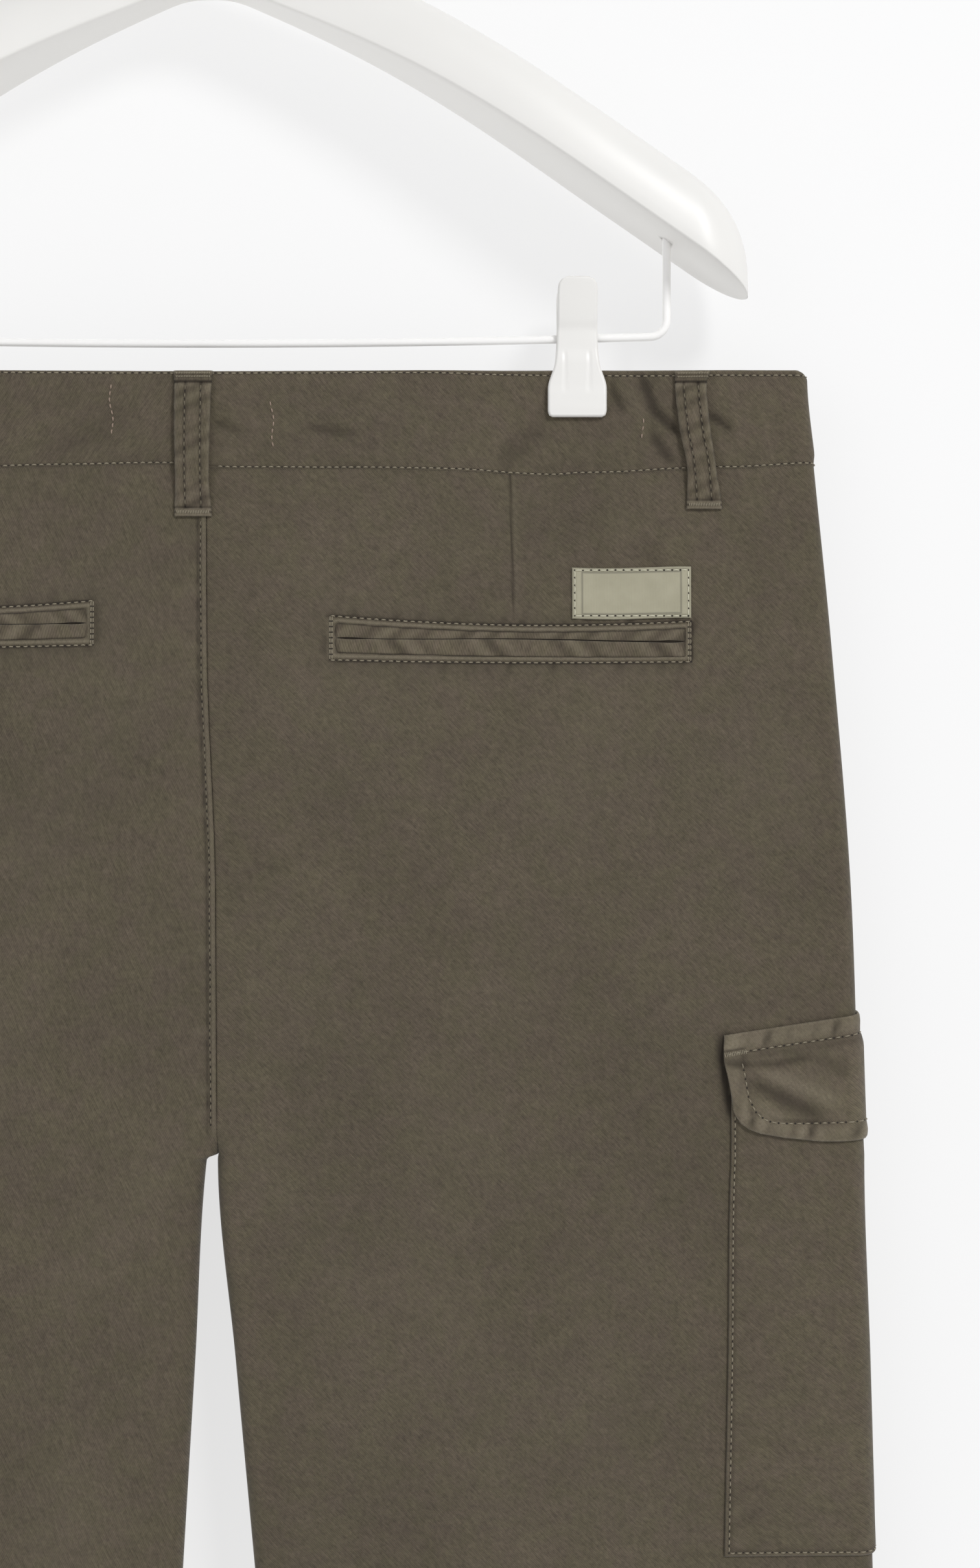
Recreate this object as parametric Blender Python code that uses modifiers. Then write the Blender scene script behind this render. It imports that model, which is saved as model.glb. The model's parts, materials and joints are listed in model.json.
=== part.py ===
"""Cargo bermuda shorts hanging by the waistband from a white clip hanger, their back to the front.

Metres, +Z up, +X to the wearer's right, -Y out of the shorts' back. The origin is the point inside
the top of the hanger's hook that a rail bears on. A "drop" is a distance down from the top edge of
the waistband. An "across" is a distance from X = 0 towards one side, and "round" is a distance
along the cloth from the side fold, which is where the side seam lies. "Lift" stands out of the
cloth's outer face.
"""

import math
from collections import namedtuple

import bmesh
import bpy
from mathutils import Vector

MM = 0.001
RIGHT, LEFT = 1, -1
BACK, FRONT = -1, 1

# Driving dimensions of the shorts
WAIST_Z = -244 * MM
BAND_HEIGHT = 36.5 * MM
CROTCH_START = 284 * MM
CROTCH_DROP = 300 * MM
HEM_DROP = 540 * MM
CLOTH = 1.2 * MM
PATCH_CLOTH = 1.0 * MM
SEAM_GAP = 0.3 * MM
FOLD_END = 0.28 * MM
NORMAL_STEP = 0.5 * MM
# Degrees round a fold's quarter turn, closer together at its end so that the walls end square.
FOLD_ANGLES = (0, 9, 22, 38, 55, 72)
LAID_GAP = 0.4 * MM
BAND_PROUD = 0.8 * MM
BAND_THICK = 2.0 * MM

# The seat's one belly turns into a belly for each leg from this drop, over this length.
LEGS_START = 200 * MM
LEGS_FADE = 170 * MM
# A clip presses front and back together: fully so near it, and less so over these lengths.
PINCH_WIDE = 14 * MM
PINCH_WIDE_FADE = 52 * MM
PINCH_DEEP = 6 * MM
PINCH_DEEP_FADE = 120 * MM
PINCH_SLACK = 0.1 * MM

# Where the walls get their points: drops in mm, and steps across, down and round
SEAT_DROPS = (48, 64, 84, 106, 132, 164)
CROTCH_STEPS = 4
BELOW_CROTCH = 2 * MM
LEG_DROP = 320 * MM
LEG_STEPS = 7
PANEL_COLUMNS = 12
HIP_COLUMNS = 3
BAND_DROPS = (0, 6, 18, 30)
BAND_COLUMNS = 13
BAND_FOLD_STEPS = 4
LOOP_COLUMNS = 2
WELT_COLUMNS = 9
LABEL_COLUMNS = 3
POCKET_ROWS = 7
WRAP_BACK_STEPS = 2
WRAP_FOLD_STEPS = 8
WRAP_FRONT_STEPS = 4

# Driving dimensions of the hanger
CLIP_X = 142 * MM
CLIP_THICK = 2.6 * MM
HANGER_HALF = 207.9 * MM
BAR_DROP = -14.8 * MM
BAR_SAG = 2.6 * MM
BAR_LEG_X = 176.6 * MM
BAR_BEND = 6.5 * MM
BAR_RADIUS = 1.6 * MM
BAR_BEND_STEPS = 5
BAR_SAG_STEPS = 6
HOOK_RADIUS = 2.3 * MM
HOOK_INSIDE = 20 * MM
HOOK_ANGLES = (198, -40)
HOOK_STEPS = 22
HOOK_SWEEP = 9 * MM
HOOK_SWEEP_DEEP = 12 * MM
HOOK_SWEEP_STEPS = 7
SOCKET_GAP = 0.35 * MM
SOCKET_DEEP = 12 * MM
SOCKET_PAST = 6 * MM
SOCKET_SIDES = 16
BAR_END_GAP = 2.5 * MM
HOOK_END_GAP = 2 * MM

# The shoulders' underside is level at the neck and falls ever more steeply towards the ends.
NECK_DROP = -29.8 * MM
NECK_LEVEL = 18 * MM
NECK_SLOPE = 0.42
END_SLOPE = 0.693
SLOPE_FROM = 20 * MM
SLOPE_FADE = 125 * MM
SLOPE_STEPS = 60
# Their section is a D on its side that widens outwards, rises at the neck and rounds off at the tip.
NECK_HEIGHT = 36 * MM
NECK_RISE = 8 * MM
NECK_RISE_FADE = 16 * MM
ARM_HALF = 9 * MM
ARM_WIDER = 14 * MM
ARM_CROWN = 28 * MM
ARM_TALLER = 3 * MM
ARM_GROWS_OVER = 150 * MM
TIP_NARROWS_FROM = 187 * MM
TIP_LOWERS_FROM = 180 * MM
TIP_LEAST_SQUARED = 0.004
TIP_MOST_SHARE = 0.998
CROWN_POWER = 0.77
CROWN_STEPS = 10
ARM_SECTIONS = (0, 5, 10, 16, 28, 45, 70, 95, 120, 145, 165, 180, 188, 195, 200, 204, 206.5, 207.8)

# The body's edges, in mm across from X = 0 towards each side, the half-depth at the side fold and
# the belly on top of it. The centre seam leans to the right, and below the crotch the inner edges
# are the inseams.
Section = namedtuple("Section", "drop right_inner right_side left_inner left_side edge belly")
SECTIONS = [
    Section(0, 0.15, 230.0, 0.15, 230.0, 3.6, 2.0),
    Section(36, 0.15, 233.4, 0.15, 233.2, 4.2, 2.6),
    Section(105, 1.6, 240.2, -1.3, 240.0, 5.2, 3.8),
    Section(205, 4.1, 247.4, -3.8, 246.4, 5.8, 4.6),
    Section(298.8, 4.2, 250.7, -3.9, 248.0, 6.0, 4.6),
    Section(300, 4.0, 250.8, -3.7, 248.0, 6.0, 4.6),
    Section(302, 3.6, 250.8, 0.7, 248.0, 6.0, 4.6),
    Section(380, 10.5, 253.2, 5.2, 247.8, 6.0, 4.4),
    Section(540, 25.5, 257.9, 14.7, 247.0, 6.0, 4.2),
]

Loop = namedtuple("Loop", "name face top_x bottom_x top bottom")
LOOPS = [
    Loop("belt_loop_back_centre", BACK, -5.1, -4.9, 0.4, 55.5),
    Loop("belt_loop_back_right", BACK, 186.3, 190.4, 0.6, 52.3),
    Loop("belt_loop_back_left", BACK, -187.0, -190.0, 0.5, 53.5),
    Loop("belt_loop_front_right", FRONT, 96.0, 97.5, 0.5, 54.0),
    Loop("belt_loop_front_left", FRONT, -96.5, -97.0, 0.5, 54.0),
]
LOOP_WIDTH = 13.4 * MM
LOOP_THICK = 1.4 * MM
# How far the loop's inner face stands off the body's cloth on its way down, as shares of its length.
LoopRow = namedtuple("LoopRow", "share lift")
LOOP_ROWS = [
    LoopRow(0.00, 1.15),
    LoopRow(0.08, 1.30),
    LoopRow(0.22, 2.10),
    LoopRow(0.42, 2.50),
    LoopRow(0.60, 2.10),
    LoopRow(0.74, 1.40),
    LoopRow(0.88, 0.60),
    LoopRow(1.00, 0.40),
]

Welt = namedtuple("Welt", "name inner_x outer_x top bottom")
WELTS = [
    Welt("back_welt_upper_right", 49.3, 183.5, 95.1, 101.7),
    Welt("back_welt_lower_right", 49.3, 183.5, 102.1, 108.6),
    Welt("back_welt_upper_left", -44.9, -179.1, 89.4, 96.0),
    Welt("back_welt_lower_left", -44.9, -179.1, 96.4, 102.9),
]
WELT_THICK = 1.0 * MM

LABEL_X = (139.7 * MM, 185.7 * MM)
LABEL_DROPS = (74.5 * MM, 94.6 * MM)
LABEL_THICK = 0.8 * MM

# The front hip piece shows beyond the slanted mouth of the front pocket.
MOUTH_TOP_ACROSS = 168 * MM
MOUTH_END_DROP = 196 * MM
MOUTH_SHORT = 4 * MM
MOUTH_GAP = 0.6 * MM
MOUTH_COLUMN = 0.15 * MM
HIP_SUNK = 0.5 * MM

# The cargo pocket wraps the side fold: its sides are measured round the cloth at one drop, and its
# edges lean against the fold.
POCKET_BACK = 53.8 * MM
POCKET_FRONT = 116.2 * MM
POCKET_LEAN = 0.047
POCKET_LEAN_FROM = 290 * MM
POCKET_BELOW_FLAP = 14 * MM
POCKET_BOTTOM = 453 * MM
FLAP_OVERHANG = 2.0 * MM
FLAP_TOP = 245.5 * MM
FLAP_SLOPE = 0.149
FLAP_LEVEL_AT = 60 * MM
FLAP_BOTTOM = 293.4 * MM
FLAP_CORNER = 15 * MM
FLAP_CORNER_RISE = 11 * MM
FLAP_ENDS = (0, 2 * MM, 6.5 * MM)
# Shares of the flap's height, and those between which it climbs onto the pocket
FLAP_SHARES = (0, 0.14, 0.27, 0.5, 0.78, 1)
FLAP_CLIMB = (0.1, 0.27)

BUTTON_X = -13 * MM
BUTTON_DROP = 18 * MM
BUTTON_RADIUS = 8.5 * MM
BUTTON_THICK = 2.6 * MM
BUTTON_SIDES = 24

CLOTH_COLOUR = (0.102, 0.083, 0.058, 1)
WORN_COLOUR = (0.130, 0.108, 0.078, 1)
LABEL_COLOUR = (0.42, 0.39, 0.29, 1)
WHITE_PLASTIC = (0.88, 0.87, 0.85, 1)
WHITE_WIRE = (0.86, 0.85, 0.84, 1)
BUTTON_COLOUR = (0.060, 0.048, 0.034, 1)
CLOTH_ROUGHNESS = 0.9
BUTTON_ROUGHNESS = 0.4
HANGER_ROUGHNESS = 0.35
SHARP_ANGLE = math.radians(40)


def ease(t):
    """A soft step from 0 to 1."""
    t = min(max(t, 0.0), 1.0)
    return t * t * (3 - 2 * t)


def slope_at(rows, i, field):
    """The slope of one column at a row: none at the ends and where the column turns round."""
    if i in (0, len(rows) - 1):
        return 0.0
    before, here, after = (getattr(rows[j], field) for j in (i - 1, i, i + 1))
    down = (here - before) / (rows[i].drop - rows[i - 1].drop)
    up = (after - here) / (rows[i + 1].drop - rows[i].drop)
    return 0.0 if down * up <= 0 else 2 * down * up / (down + up)


def body(field, drop):
    """One column of the body's table at a drop, in metres, along a curve without overshoot."""
    d = min(max(drop / MM, SECTIONS[0].drop), SECTIONS[-1].drop)
    i = max(k for k in range(len(SECTIONS) - 1) if SECTIONS[k].drop <= d)
    low, high = SECTIONS[i], SECTIONS[i + 1]
    span = high.drop - low.drop
    t = (d - low.drop) / span
    a, b = getattr(low, field), getattr(high, field)
    rise_a, rise_b = slope_at(SECTIONS, i, field) * span, slope_at(SECTIONS, i + 1, field) * span
    if i == len(SECTIONS) - 2:
        rise_b = 1.5 * (b - a) - 0.5 * rise_a
    value = (2 * t**3 - 3 * t**2 + 1) * a + (t**3 - 2 * t**2 + t) * rise_a
    return MM * (value + (3 * t**2 - 2 * t**3) * b + (t**3 - t**2) * rise_b)


def inner_across(side, drop):
    return body("right_inner" if side == RIGHT else "left_inner", drop)


def side_across(side, drop):
    return body("right_side" if side == RIGHT else "left_side", drop)


def clip_pinch(across, drop):
    """1 where a clip presses front and back together, fading sideways and down."""
    sideways = 1 - ease((abs(across - CLIP_X) - PINCH_WIDE) / PINCH_WIDE_FADE)
    return sideways * (1 - ease((drop - PINCH_DEEP) / PINCH_DEEP_FADE))


def depth(side, across, drop):
    """The outer face's distance from the middle plane, away from the folds."""
    edge, belly = body("edge", drop), body("belly", drop)
    start = inner_across(side, drop)
    end = side_across(side, drop) - edge
    s = min(max((across - start) / (end - start), 0), 1)
    leg = ease((drop - LEGS_START) / LEGS_FADE)
    bell = (1 - leg) * math.cos(math.pi * s / 2) ** 2 + leg * math.sin(math.pi * s) ** 2
    free = edge + belly * bell
    pinched = CLOTH + SEAM_GAP / 2 + PINCH_SLACK
    p = clip_pinch(across, drop)
    return free * (1 - p) + pinched * p


def crotch_share(drop):
    """How much of its depth the inner edge keeps: all above the crotch, none below it."""
    t = min(max((drop - CROTCH_START) / (CROTCH_DROP - CROTCH_START), 0), 1)
    return math.sqrt(1 - t * t)


def on_body(side, face, across, out, drop):
    return Vector((side * across, face * out, WAIST_Z - drop))


def fold_length(drop):
    return body("edge", drop) * math.pi / 2


def round_of(side, across, drop):
    """The distance round the cloth from the side fold to a place given across."""
    edge = body("edge", drop)
    return side_across(side, drop) - edge - across + edge * math.pi / 2


def base_point(side, face, turn, drop):
    """The outer face at a distance round the cloth from the side fold."""
    edge, side_x = body("edge", drop), side_across(side, drop)
    if turn < fold_length(drop):
        angle = turn / edge
        across = side_x - edge + edge * math.cos(angle)
        return on_body(side, face, across, edge * math.sin(angle), drop)
    across = side_x - edge - (turn - fold_length(drop))
    return on_body(side, face, across, depth(side, across, drop), drop)


def cloth_point(side, face, turn, drop, lift=0.0):
    """A point on the cloth, or lifted off it along its normal."""
    here = base_point(side, face, turn, drop)
    after = base_point(side, face, turn + NORMAL_STEP, drop)
    along = after - base_point(side, face, max(turn - NORMAL_STEP, 0), drop)
    above = base_point(side, face, turn, drop - NORMAL_STEP)
    down = base_point(side, face, turn, drop + NORMAL_STEP) - above
    normal = along.cross(down).normalized() * (-face * side)
    return here + normal * lift


def point_at(face, x, drop, lift=0.0):
    """A lifted point of the cloth at an X, on whichever half it falls."""
    side = RIGHT if x >= inner_across(RIGHT, drop) else LEFT
    return cloth_point(side, face, round_of(side, side * x, drop), drop, lift)


def linked(name, data, colour, roughness):
    """A new object in the shorts' collection, with its own material."""
    obj = bpy.data.objects.new(name, data)
    bpy.data.collections["cargo_shorts"].objects.link(obj)
    paint(obj, colour, roughness)
    return obj


def smooth(mesh):
    """Shades a mesh smooth between its sharp edges."""
    mesh.shade_smooth()
    mesh.set_sharp_from_angle(angle=SHARP_ANGLE)


def paint(obj, colour, roughness):
    mat = bpy.data.materials.new(obj.name)
    mat.use_nodes = True
    shader = mat.node_tree.nodes["Principled BSDF"]
    shader.inputs["Base Color"].default_value = colour
    shader.inputs["Roughness"].default_value = roughness
    obj.data.materials.clear()
    obj.data.materials.append(mat)


def grid_faces(rows, columns, flip):
    faces = []
    for r in range(rows - 1):
        for c in range(columns - 1):
            a = r * columns + c
            face = (a, a + 1, a + columns + 1, a + columns)
            faces.append(face[::-1] if flip else face)
    return faces


def shell(name, rows, thickness, flip, colour, roughness=CLOTH_ROUGHNESS):
    """A sheet of points in rows, down the garment, thickened away from its outer face."""
    mesh = bpy.data.meshes.new(name)
    points = [p for row in rows for p in row]
    mesh.from_pydata(points, [], grid_faces(len(rows), len(rows[0]), flip))
    smooth(mesh)
    obj = linked(name, mesh, colour, roughness)
    solid = obj.modifiers.new("thickness", "SOLIDIFY")
    solid.thickness = thickness
    solid.offset = -1
    solid.use_even_offset = True
    return obj


def steps(start, end, count):
    return [start + (end - start) * k / count for k in range(count + 1)]


# The four panels

def panel_row(side, face, drop, outer_stop=None):
    """One level of a panel, from its inner edge to the side fold or to a stop across."""
    edge, side_x = body("edge", drop), side_across(side, drop)
    start = inner_across(side, drop)
    share = crotch_share(drop)
    inner_depth = depth(side, start + edge, drop)
    narrow = len(FOLD_ANGLES) * MOUTH_COLUMN
    end = side_x - edge if outer_stop is None else outer_stop - narrow
    row = []
    for angle in FOLD_ANGLES:
        angle = math.radians(angle)
        across = start + edge * (1 - math.cos(angle))
        out = inner_depth * math.sqrt(1 - (1 - share**2) * math.cos(angle) ** 2)
        row.append(on_body(side, face, across, max(out, FOLD_END), drop))
    for across in steps(start + edge, end, PANEL_COLUMNS):
        row.append(on_body(side, face, across, depth(side, across, drop), drop))
    if outer_stop is None:
        row += [base_point(side, face, turn, drop) for turn in fold_turns(edge)]
    else:
        for across in steps(end, outer_stop, len(FOLD_ANGLES))[1:]:
            row.append(on_body(side, face, across, depth(side, across, drop), drop))
    return row


def fold_turns(edge):
    """Distances round the side fold, towards its end."""
    return [max(edge * math.radians(angle), FOLD_END) for angle in reversed(FOLD_ANGLES)]


def panel_drops():
    seat = [BAND_HEIGHT + SEAM_GAP] + [drop * MM for drop in SEAT_DROPS]
    seat += steps(MOUTH_END_DROP, CROTCH_START, 3)[:-1]
    span = CROTCH_DROP - CROTCH_START
    crotch = [CROTCH_START + span * math.sin(math.radians(a)) for a in steps(0, 90, CROTCH_STEPS)]
    return seat + crotch + [CROTCH_DROP + BELOW_CROTCH] + steps(LEG_DROP, HEM_DROP, LEG_STEPS)


def mouth_across(side, drop):
    """The slanted pocket mouth, from the waistband to the start of the side fold."""
    t = (drop - BAND_HEIGHT) / (MOUTH_END_DROP - BAND_HEIGHT)
    end = side_across(side, MOUTH_END_DROP) - body("edge", MOUTH_END_DROP) - MOUTH_SHORT
    return MOUTH_TOP_ACROSS + (end - MOUTH_TOP_ACROSS) * t


def back_panel(name, side):
    rows = [panel_row(side, BACK, drop) for drop in panel_drops()]
    return shell(name, rows, CLOTH, side == RIGHT, CLOTH_COLOUR)


def front_panel(name, side):
    """The front, cut back to the slanted mouth above the mouth's end."""
    mouth_foot = MOUTH_END_DROP - SEAM_GAP
    above = [drop for drop in panel_drops() if drop < mouth_foot] + [mouth_foot]
    rows = [panel_row(side, FRONT, drop, mouth_across(side, drop)) for drop in above]
    below = [drop for drop in panel_drops() if drop > mouth_foot]
    rows += [panel_row(side, FRONT, drop) for drop in below]
    return shell(name, rows, CLOTH, side == LEFT, CLOTH_COLOUR)


def hip_piece(name, side):
    """The piece of the pocket that shows between its mouth and the side seam."""
    rows = []
    for drop in [min(d, MOUTH_END_DROP - 2 * SEAM_GAP) for d in panel_drops() if d <= MOUTH_END_DROP]:
        start = round_of(side, mouth_across(side, drop) + MOUTH_GAP, drop)
        turns = steps(start, fold_length(drop), HIP_COLUMNS) + fold_turns(body("edge", drop))
        rows.append([cloth_point(side, FRONT, turn, drop, -HIP_SUNK) for turn in turns])
    return shell(name, rows, CLOTH, side == LEFT, CLOTH_COLOUR)


# What is sewn on

def waistband(name, side):
    """One half of the band, from the centre back round the side to the centre front."""
    rows = []
    for drop in [drop * MM for drop in BAND_DROPS] + [BAND_HEIGHT]:
        seam = round_of(side, inner_across(side, drop), drop)
        arc = fold_length(drop)
        half = steps(seam, arc, BAND_COLUMNS) + steps(arc, 0, BAND_FOLD_STEPS)[1:]
        row = [cloth_point(side, BACK, turn, drop, BAND_PROUD) for turn in half]
        row += [cloth_point(side, FRONT, turn, drop, BAND_PROUD) for turn in reversed(half[:-1])]
        rows.append(row)
    return shell(name, rows, BAND_THICK, side == RIGHT, CLOTH_COLOUR)


def belt_loop(loop):
    """A strip sewn down at both ends and standing off the band between them."""
    rows = []
    for row in LOOP_ROWS:
        middle = (loop.top_x + (loop.bottom_x - loop.top_x) * row.share) * MM
        drop = (loop.top + (loop.bottom - loop.top) * row.share) * MM
        xs = steps(middle - LOOP_WIDTH / 2, middle + LOOP_WIDTH / 2, LOOP_COLUMNS)
        rows.append([point_at(loop.face, x, drop, row.lift * MM + LOOP_THICK) for x in xs])
    return shell(loop.name, rows, LOOP_THICK, loop.face == BACK, WORN_COLOUR)


def flat_patch(name, face, xs, drops, thickness, colour):
    """A sewn-on strip or patch that follows the panel under it."""
    rows = [[point_at(face, x, drop, LAID_GAP + thickness) for x in xs] for drop in drops]
    return shell(name, rows, thickness, face == BACK, colour)


def back_welt(welt):
    ends = sorted((welt.inner_x * MM, welt.outer_x * MM))
    xs = steps(ends[0], ends[1], WELT_COLUMNS)
    return flat_patch(welt.name, BACK, xs, (welt.top * MM, welt.bottom * MM), WELT_THICK, WORN_COLOUR)


def label_patch():
    xs = steps(LABEL_X[0], LABEL_X[1], LABEL_COLUMNS)
    return flat_patch("label_patch", BACK, xs, LABEL_DROPS, LABEL_THICK, LABEL_COLOUR)


def wrapped_point(side, turn, drop, lift):
    """A lifted point round the side fold: behind it a turn is negative, in front positive."""
    return cloth_point(side, BACK if turn < 0 else FRONT, abs(turn), drop, lift)


def flap_top(turn):
    """The flap's upper edge: it climbs towards the front and levels off."""
    if turn < 0:
        return FLAP_TOP - FLAP_SLOPE * turn
    share = min(turn / FLAP_LEVEL_AT, 1)
    return FLAP_TOP - FLAP_SLOPE * FLAP_LEVEL_AT / 2 * (1 - (1 - share) ** 2)


def flap_bottom(turn):
    """The flap's lower edge, rounded up at both ends."""
    from_end = min(turn + POCKET_BACK + FLAP_OVERHANG, POCKET_FRONT + FLAP_OVERHANG - turn)
    share = max(1 - from_end / FLAP_CORNER, 0)
    return FLAP_BOTTOM - FLAP_CORNER_RISE * (1 - math.sqrt(max(1 - share**2, 0)))


def wrap_turns(overhang, ends):
    """Places round the fold: close together in the fold and near the ends."""
    back, front = POCKET_BACK + overhang, POCKET_FRONT + overhang
    arc = fold_length(POCKET_LEAN_FROM)
    turns = [-back + e for e in ends] + steps(-back + FLAP_CORNER, -arc, WRAP_BACK_STEPS)
    turns += steps(-arc, arc, WRAP_FOLD_STEPS)[1:]
    turns += steps(arc, front - FLAP_CORNER, WRAP_FRONT_STEPS)[1:]
    return turns + [front - e for e in reversed(ends)]


def leaned(turn, drop):
    """Shifts the pocket's ends along the cloth on the way down, and leaves the fold alone."""
    arc = fold_length(POCKET_LEAN_FROM)
    end = POCKET_BACK if turn < 0 else POCKET_FRONT
    share = max(abs(turn) - arc, 0) / (end - arc)
    return turn - share * POCKET_LEAN * (drop - POCKET_LEAN_FROM)


def cargo_pocket(name, side):
    rows = []
    for share in steps(0, 1, POCKET_ROWS):
        row = []
        for turn in wrap_turns(0, (0,)):
            top = flap_top(turn) + POCKET_BELOW_FLAP
            drop = top + (POCKET_BOTTOM - top) * share
            row.append(wrapped_point(side, leaned(turn, drop), drop, LAID_GAP + PATCH_CLOTH))
        rows.append(row)
    return shell(name, rows, PATCH_CLOTH, side == RIGHT, CLOTH_COLOUR)


def cargo_flap(name, side):
    """The flap lies on the leg along its top seam and over the pocket below it."""
    on_leg = LAID_GAP + PATCH_CLOTH
    start, end = FLAP_CLIMB
    rows = []
    for share in FLAP_SHARES:
        lift = on_leg + on_leg * ease((share - start) / (end - start))
        row = []
        for turn in wrap_turns(FLAP_OVERHANG, FLAP_ENDS):
            drop = flap_top(turn) + (flap_bottom(turn) - flap_top(turn)) * share
            row.append(wrapped_point(side, leaned(turn, drop), drop, lift))
        rows.append(row)
    return shell(name, rows, PATCH_CLOTH, side == RIGHT, WORN_COLOUR)


def waist_button():
    mesh = bpy.data.meshes.new("waist_button")
    disc = bmesh.new()
    bmesh.ops.create_cone(
        disc,
        cap_ends=True,
        segments=BUTTON_SIDES,
        radius1=BUTTON_RADIUS,
        radius2=BUTTON_RADIUS,
        depth=BUTTON_THICK,
    )
    disc.to_mesh(mesh)
    disc.free()
    smooth(mesh)
    obj = linked("waist_button", mesh, BUTTON_COLOUR, BUTTON_ROUGHNESS)
    lift = BAND_PROUD + LAID_GAP + BUTTON_THICK / 2
    obj.location = point_at(FRONT, BUTTON_X, BUTTON_DROP, lift)
    obj.rotation_euler = (math.radians(90), 0, 0)
    return obj


# The hanger

def underside_drop(x):
    """The drop of the shoulders' underside: level at the neck, steeper towards the ends."""
    step = (HANGER_HALF - abs(x)) / SLOPE_STEPS
    rise = 0.0
    for k in range(SLOPE_STEPS):
        at = abs(x) + step * (k + 0.5)
        slope = NECK_SLOPE + (END_SLOPE - NECK_SLOPE) * ease((at - SLOPE_FROM) / SLOPE_FADE)
        rise += slope * ease(at / NECK_LEVEL) * step
    return NECK_DROP - rise


def shoulder_section(x):
    """The D-shaped section of the shoulders at an X: a flat underside and a round crown."""
    growth = ease(x / ARM_GROWS_OVER)
    narrowing = max((x - TIP_NARROWS_FROM) / (HANGER_HALF - TIP_NARROWS_FROM), 0)
    half = (ARM_HALF + ARM_WIDER * growth) * math.sqrt(max(1 - narrowing**2, TIP_LEAST_SQUARED))
    lowering = max((x - TIP_LOWERS_FROM) / (HANGER_HALF - TIP_LOWERS_FROM), 0)
    crown = (ARM_CROWN + ARM_TALLER * growth) * (1 - min(lowering, TIP_MOST_SHARE) ** 3) ** (1 / 3)
    crown += NECK_RISE * (1 - ease(x / NECK_RISE_FADE))
    low = WAIST_Z - underside_drop(x)
    points = [Vector((x, half * k / 3, low)) for k in (-1, 1)]
    for angle in steps(0, 180, CROWN_STEPS):
        c, s = math.cos(math.radians(angle)), math.sin(math.radians(angle))
        y = half * math.copysign(abs(c) ** CROWN_POWER, c)
        points.append(Vector((x, y, low + crown * abs(s) ** CROWN_POWER)))
    return points


def hanger_shoulders():
    """Both arms: one is lofted through sections and mirrored."""
    sections = [shoulder_section(x * MM) for x in ARM_SECTIONS]
    count = len(sections[0])
    mesh = bpy.data.meshes.new("hanger_shoulders")
    faces = loft_faces(len(sections), count)
    faces.append(tuple((len(sections) - 1) * count + k for k in range(count)))
    mesh.from_pydata([p for section in sections for p in section], [], faces)
    smooth(mesh)
    obj = linked("hanger_shoulders", mesh, WHITE_PLASTIC, HANGER_ROUGHNESS)
    mirror = obj.modifiers.new("other arm", "MIRROR")
    mirror.merge_threshold = 0.1 * MM
    for side in (LEFT, RIGHT):
        low = underside_drop(BAR_LEG_X)
        drill(obj, side * BAR_LEG_X, low + SOCKET_PAST, low - SOCKET_DEEP, BAR_RADIUS + SOCKET_GAP)
    top = neck_top_drop()
    drill(obj, 0, top + SOCKET_DEEP, top - SOCKET_PAST, HOOK_RADIUS + SOCKET_GAP)
    return obj


def neck_top_drop():
    return underside_drop(0) - NECK_HEIGHT


def loft_faces(sections, count):
    faces = []
    for s in range(sections - 1):
        for k in range(count):
            a, b = s * count + k, s * count + (k + 1) % count
            faces.append((a, b, b + count, a + count))
    return faces


def drill(obj, x, low_drop, high_drop, radius):
    """Cuts an upright round socket between two drops."""
    mesh = bpy.data.meshes.new("socket")
    tool = bmesh.new()
    bmesh.ops.create_cone(
        tool,
        cap_ends=True,
        segments=SOCKET_SIDES,
        radius1=radius,
        radius2=radius,
        depth=low_drop - high_drop,
    )
    tool.to_mesh(mesh)
    tool.free()
    cutter = bpy.data.objects.new("socket", mesh)
    bpy.data.collections["cutters"].objects.link(cutter)
    cutter.location = (x, 0, WAIST_Z - (low_drop + high_drop) / 2)
    cutter.hide_render = True
    cutter.display_type = "WIRE"
    cut = obj.modifiers.new("socket", "BOOLEAN")
    cut.operation = "DIFFERENCE"
    cut.object = cutter


def wire(name, points, radius, colour):
    """A round wire through points, with closed ends."""
    curve = bpy.data.curves.new(name, "CURVE")
    curve.dimensions = "3D"
    curve.bevel_depth = radius
    curve.bevel_resolution = 2
    curve.use_fill_caps = True
    line = curve.splines.new("POLY")
    line.points.add(len(points) - 1)
    for spot, p in zip(line.points, points):
        spot.co = (p[0], p[1], p[2], 1)
    return linked(name, curve, colour, HANGER_ROUGHNESS)


def trouser_bar():
    """The bar sags between two legs that go up into the shoulders."""
    top = underside_drop(BAR_LEG_X) - SOCKET_DEEP + BAR_END_GAP
    right = [Vector((BAR_LEG_X, 0, WAIST_Z - top))]
    for angle in steps(0, 90, BAR_BEND_STEPS):
        c, s = math.cos(math.radians(angle)), math.sin(math.radians(angle))
        x = BAR_LEG_X - BAR_BEND + BAR_BEND * c
        right.append(Vector((x, 0, WAIST_Z - BAR_DROP + BAR_BEND * (1 - s))))
    span = BAR_LEG_X - BAR_BEND
    for x in steps(span, 0, BAR_SAG_STEPS)[1:]:
        sag = BAR_SAG * (1 - (x / span) ** 2)
        right.append(Vector((x, 0, WAIST_Z - BAR_DROP - sag)))
    left = [Vector((-p.x, p.y, p.z)) for p in reversed(right[:-1])]
    return wire("trouser_bar", right + left, BAR_RADIUS, WHITE_WIRE)


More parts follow.
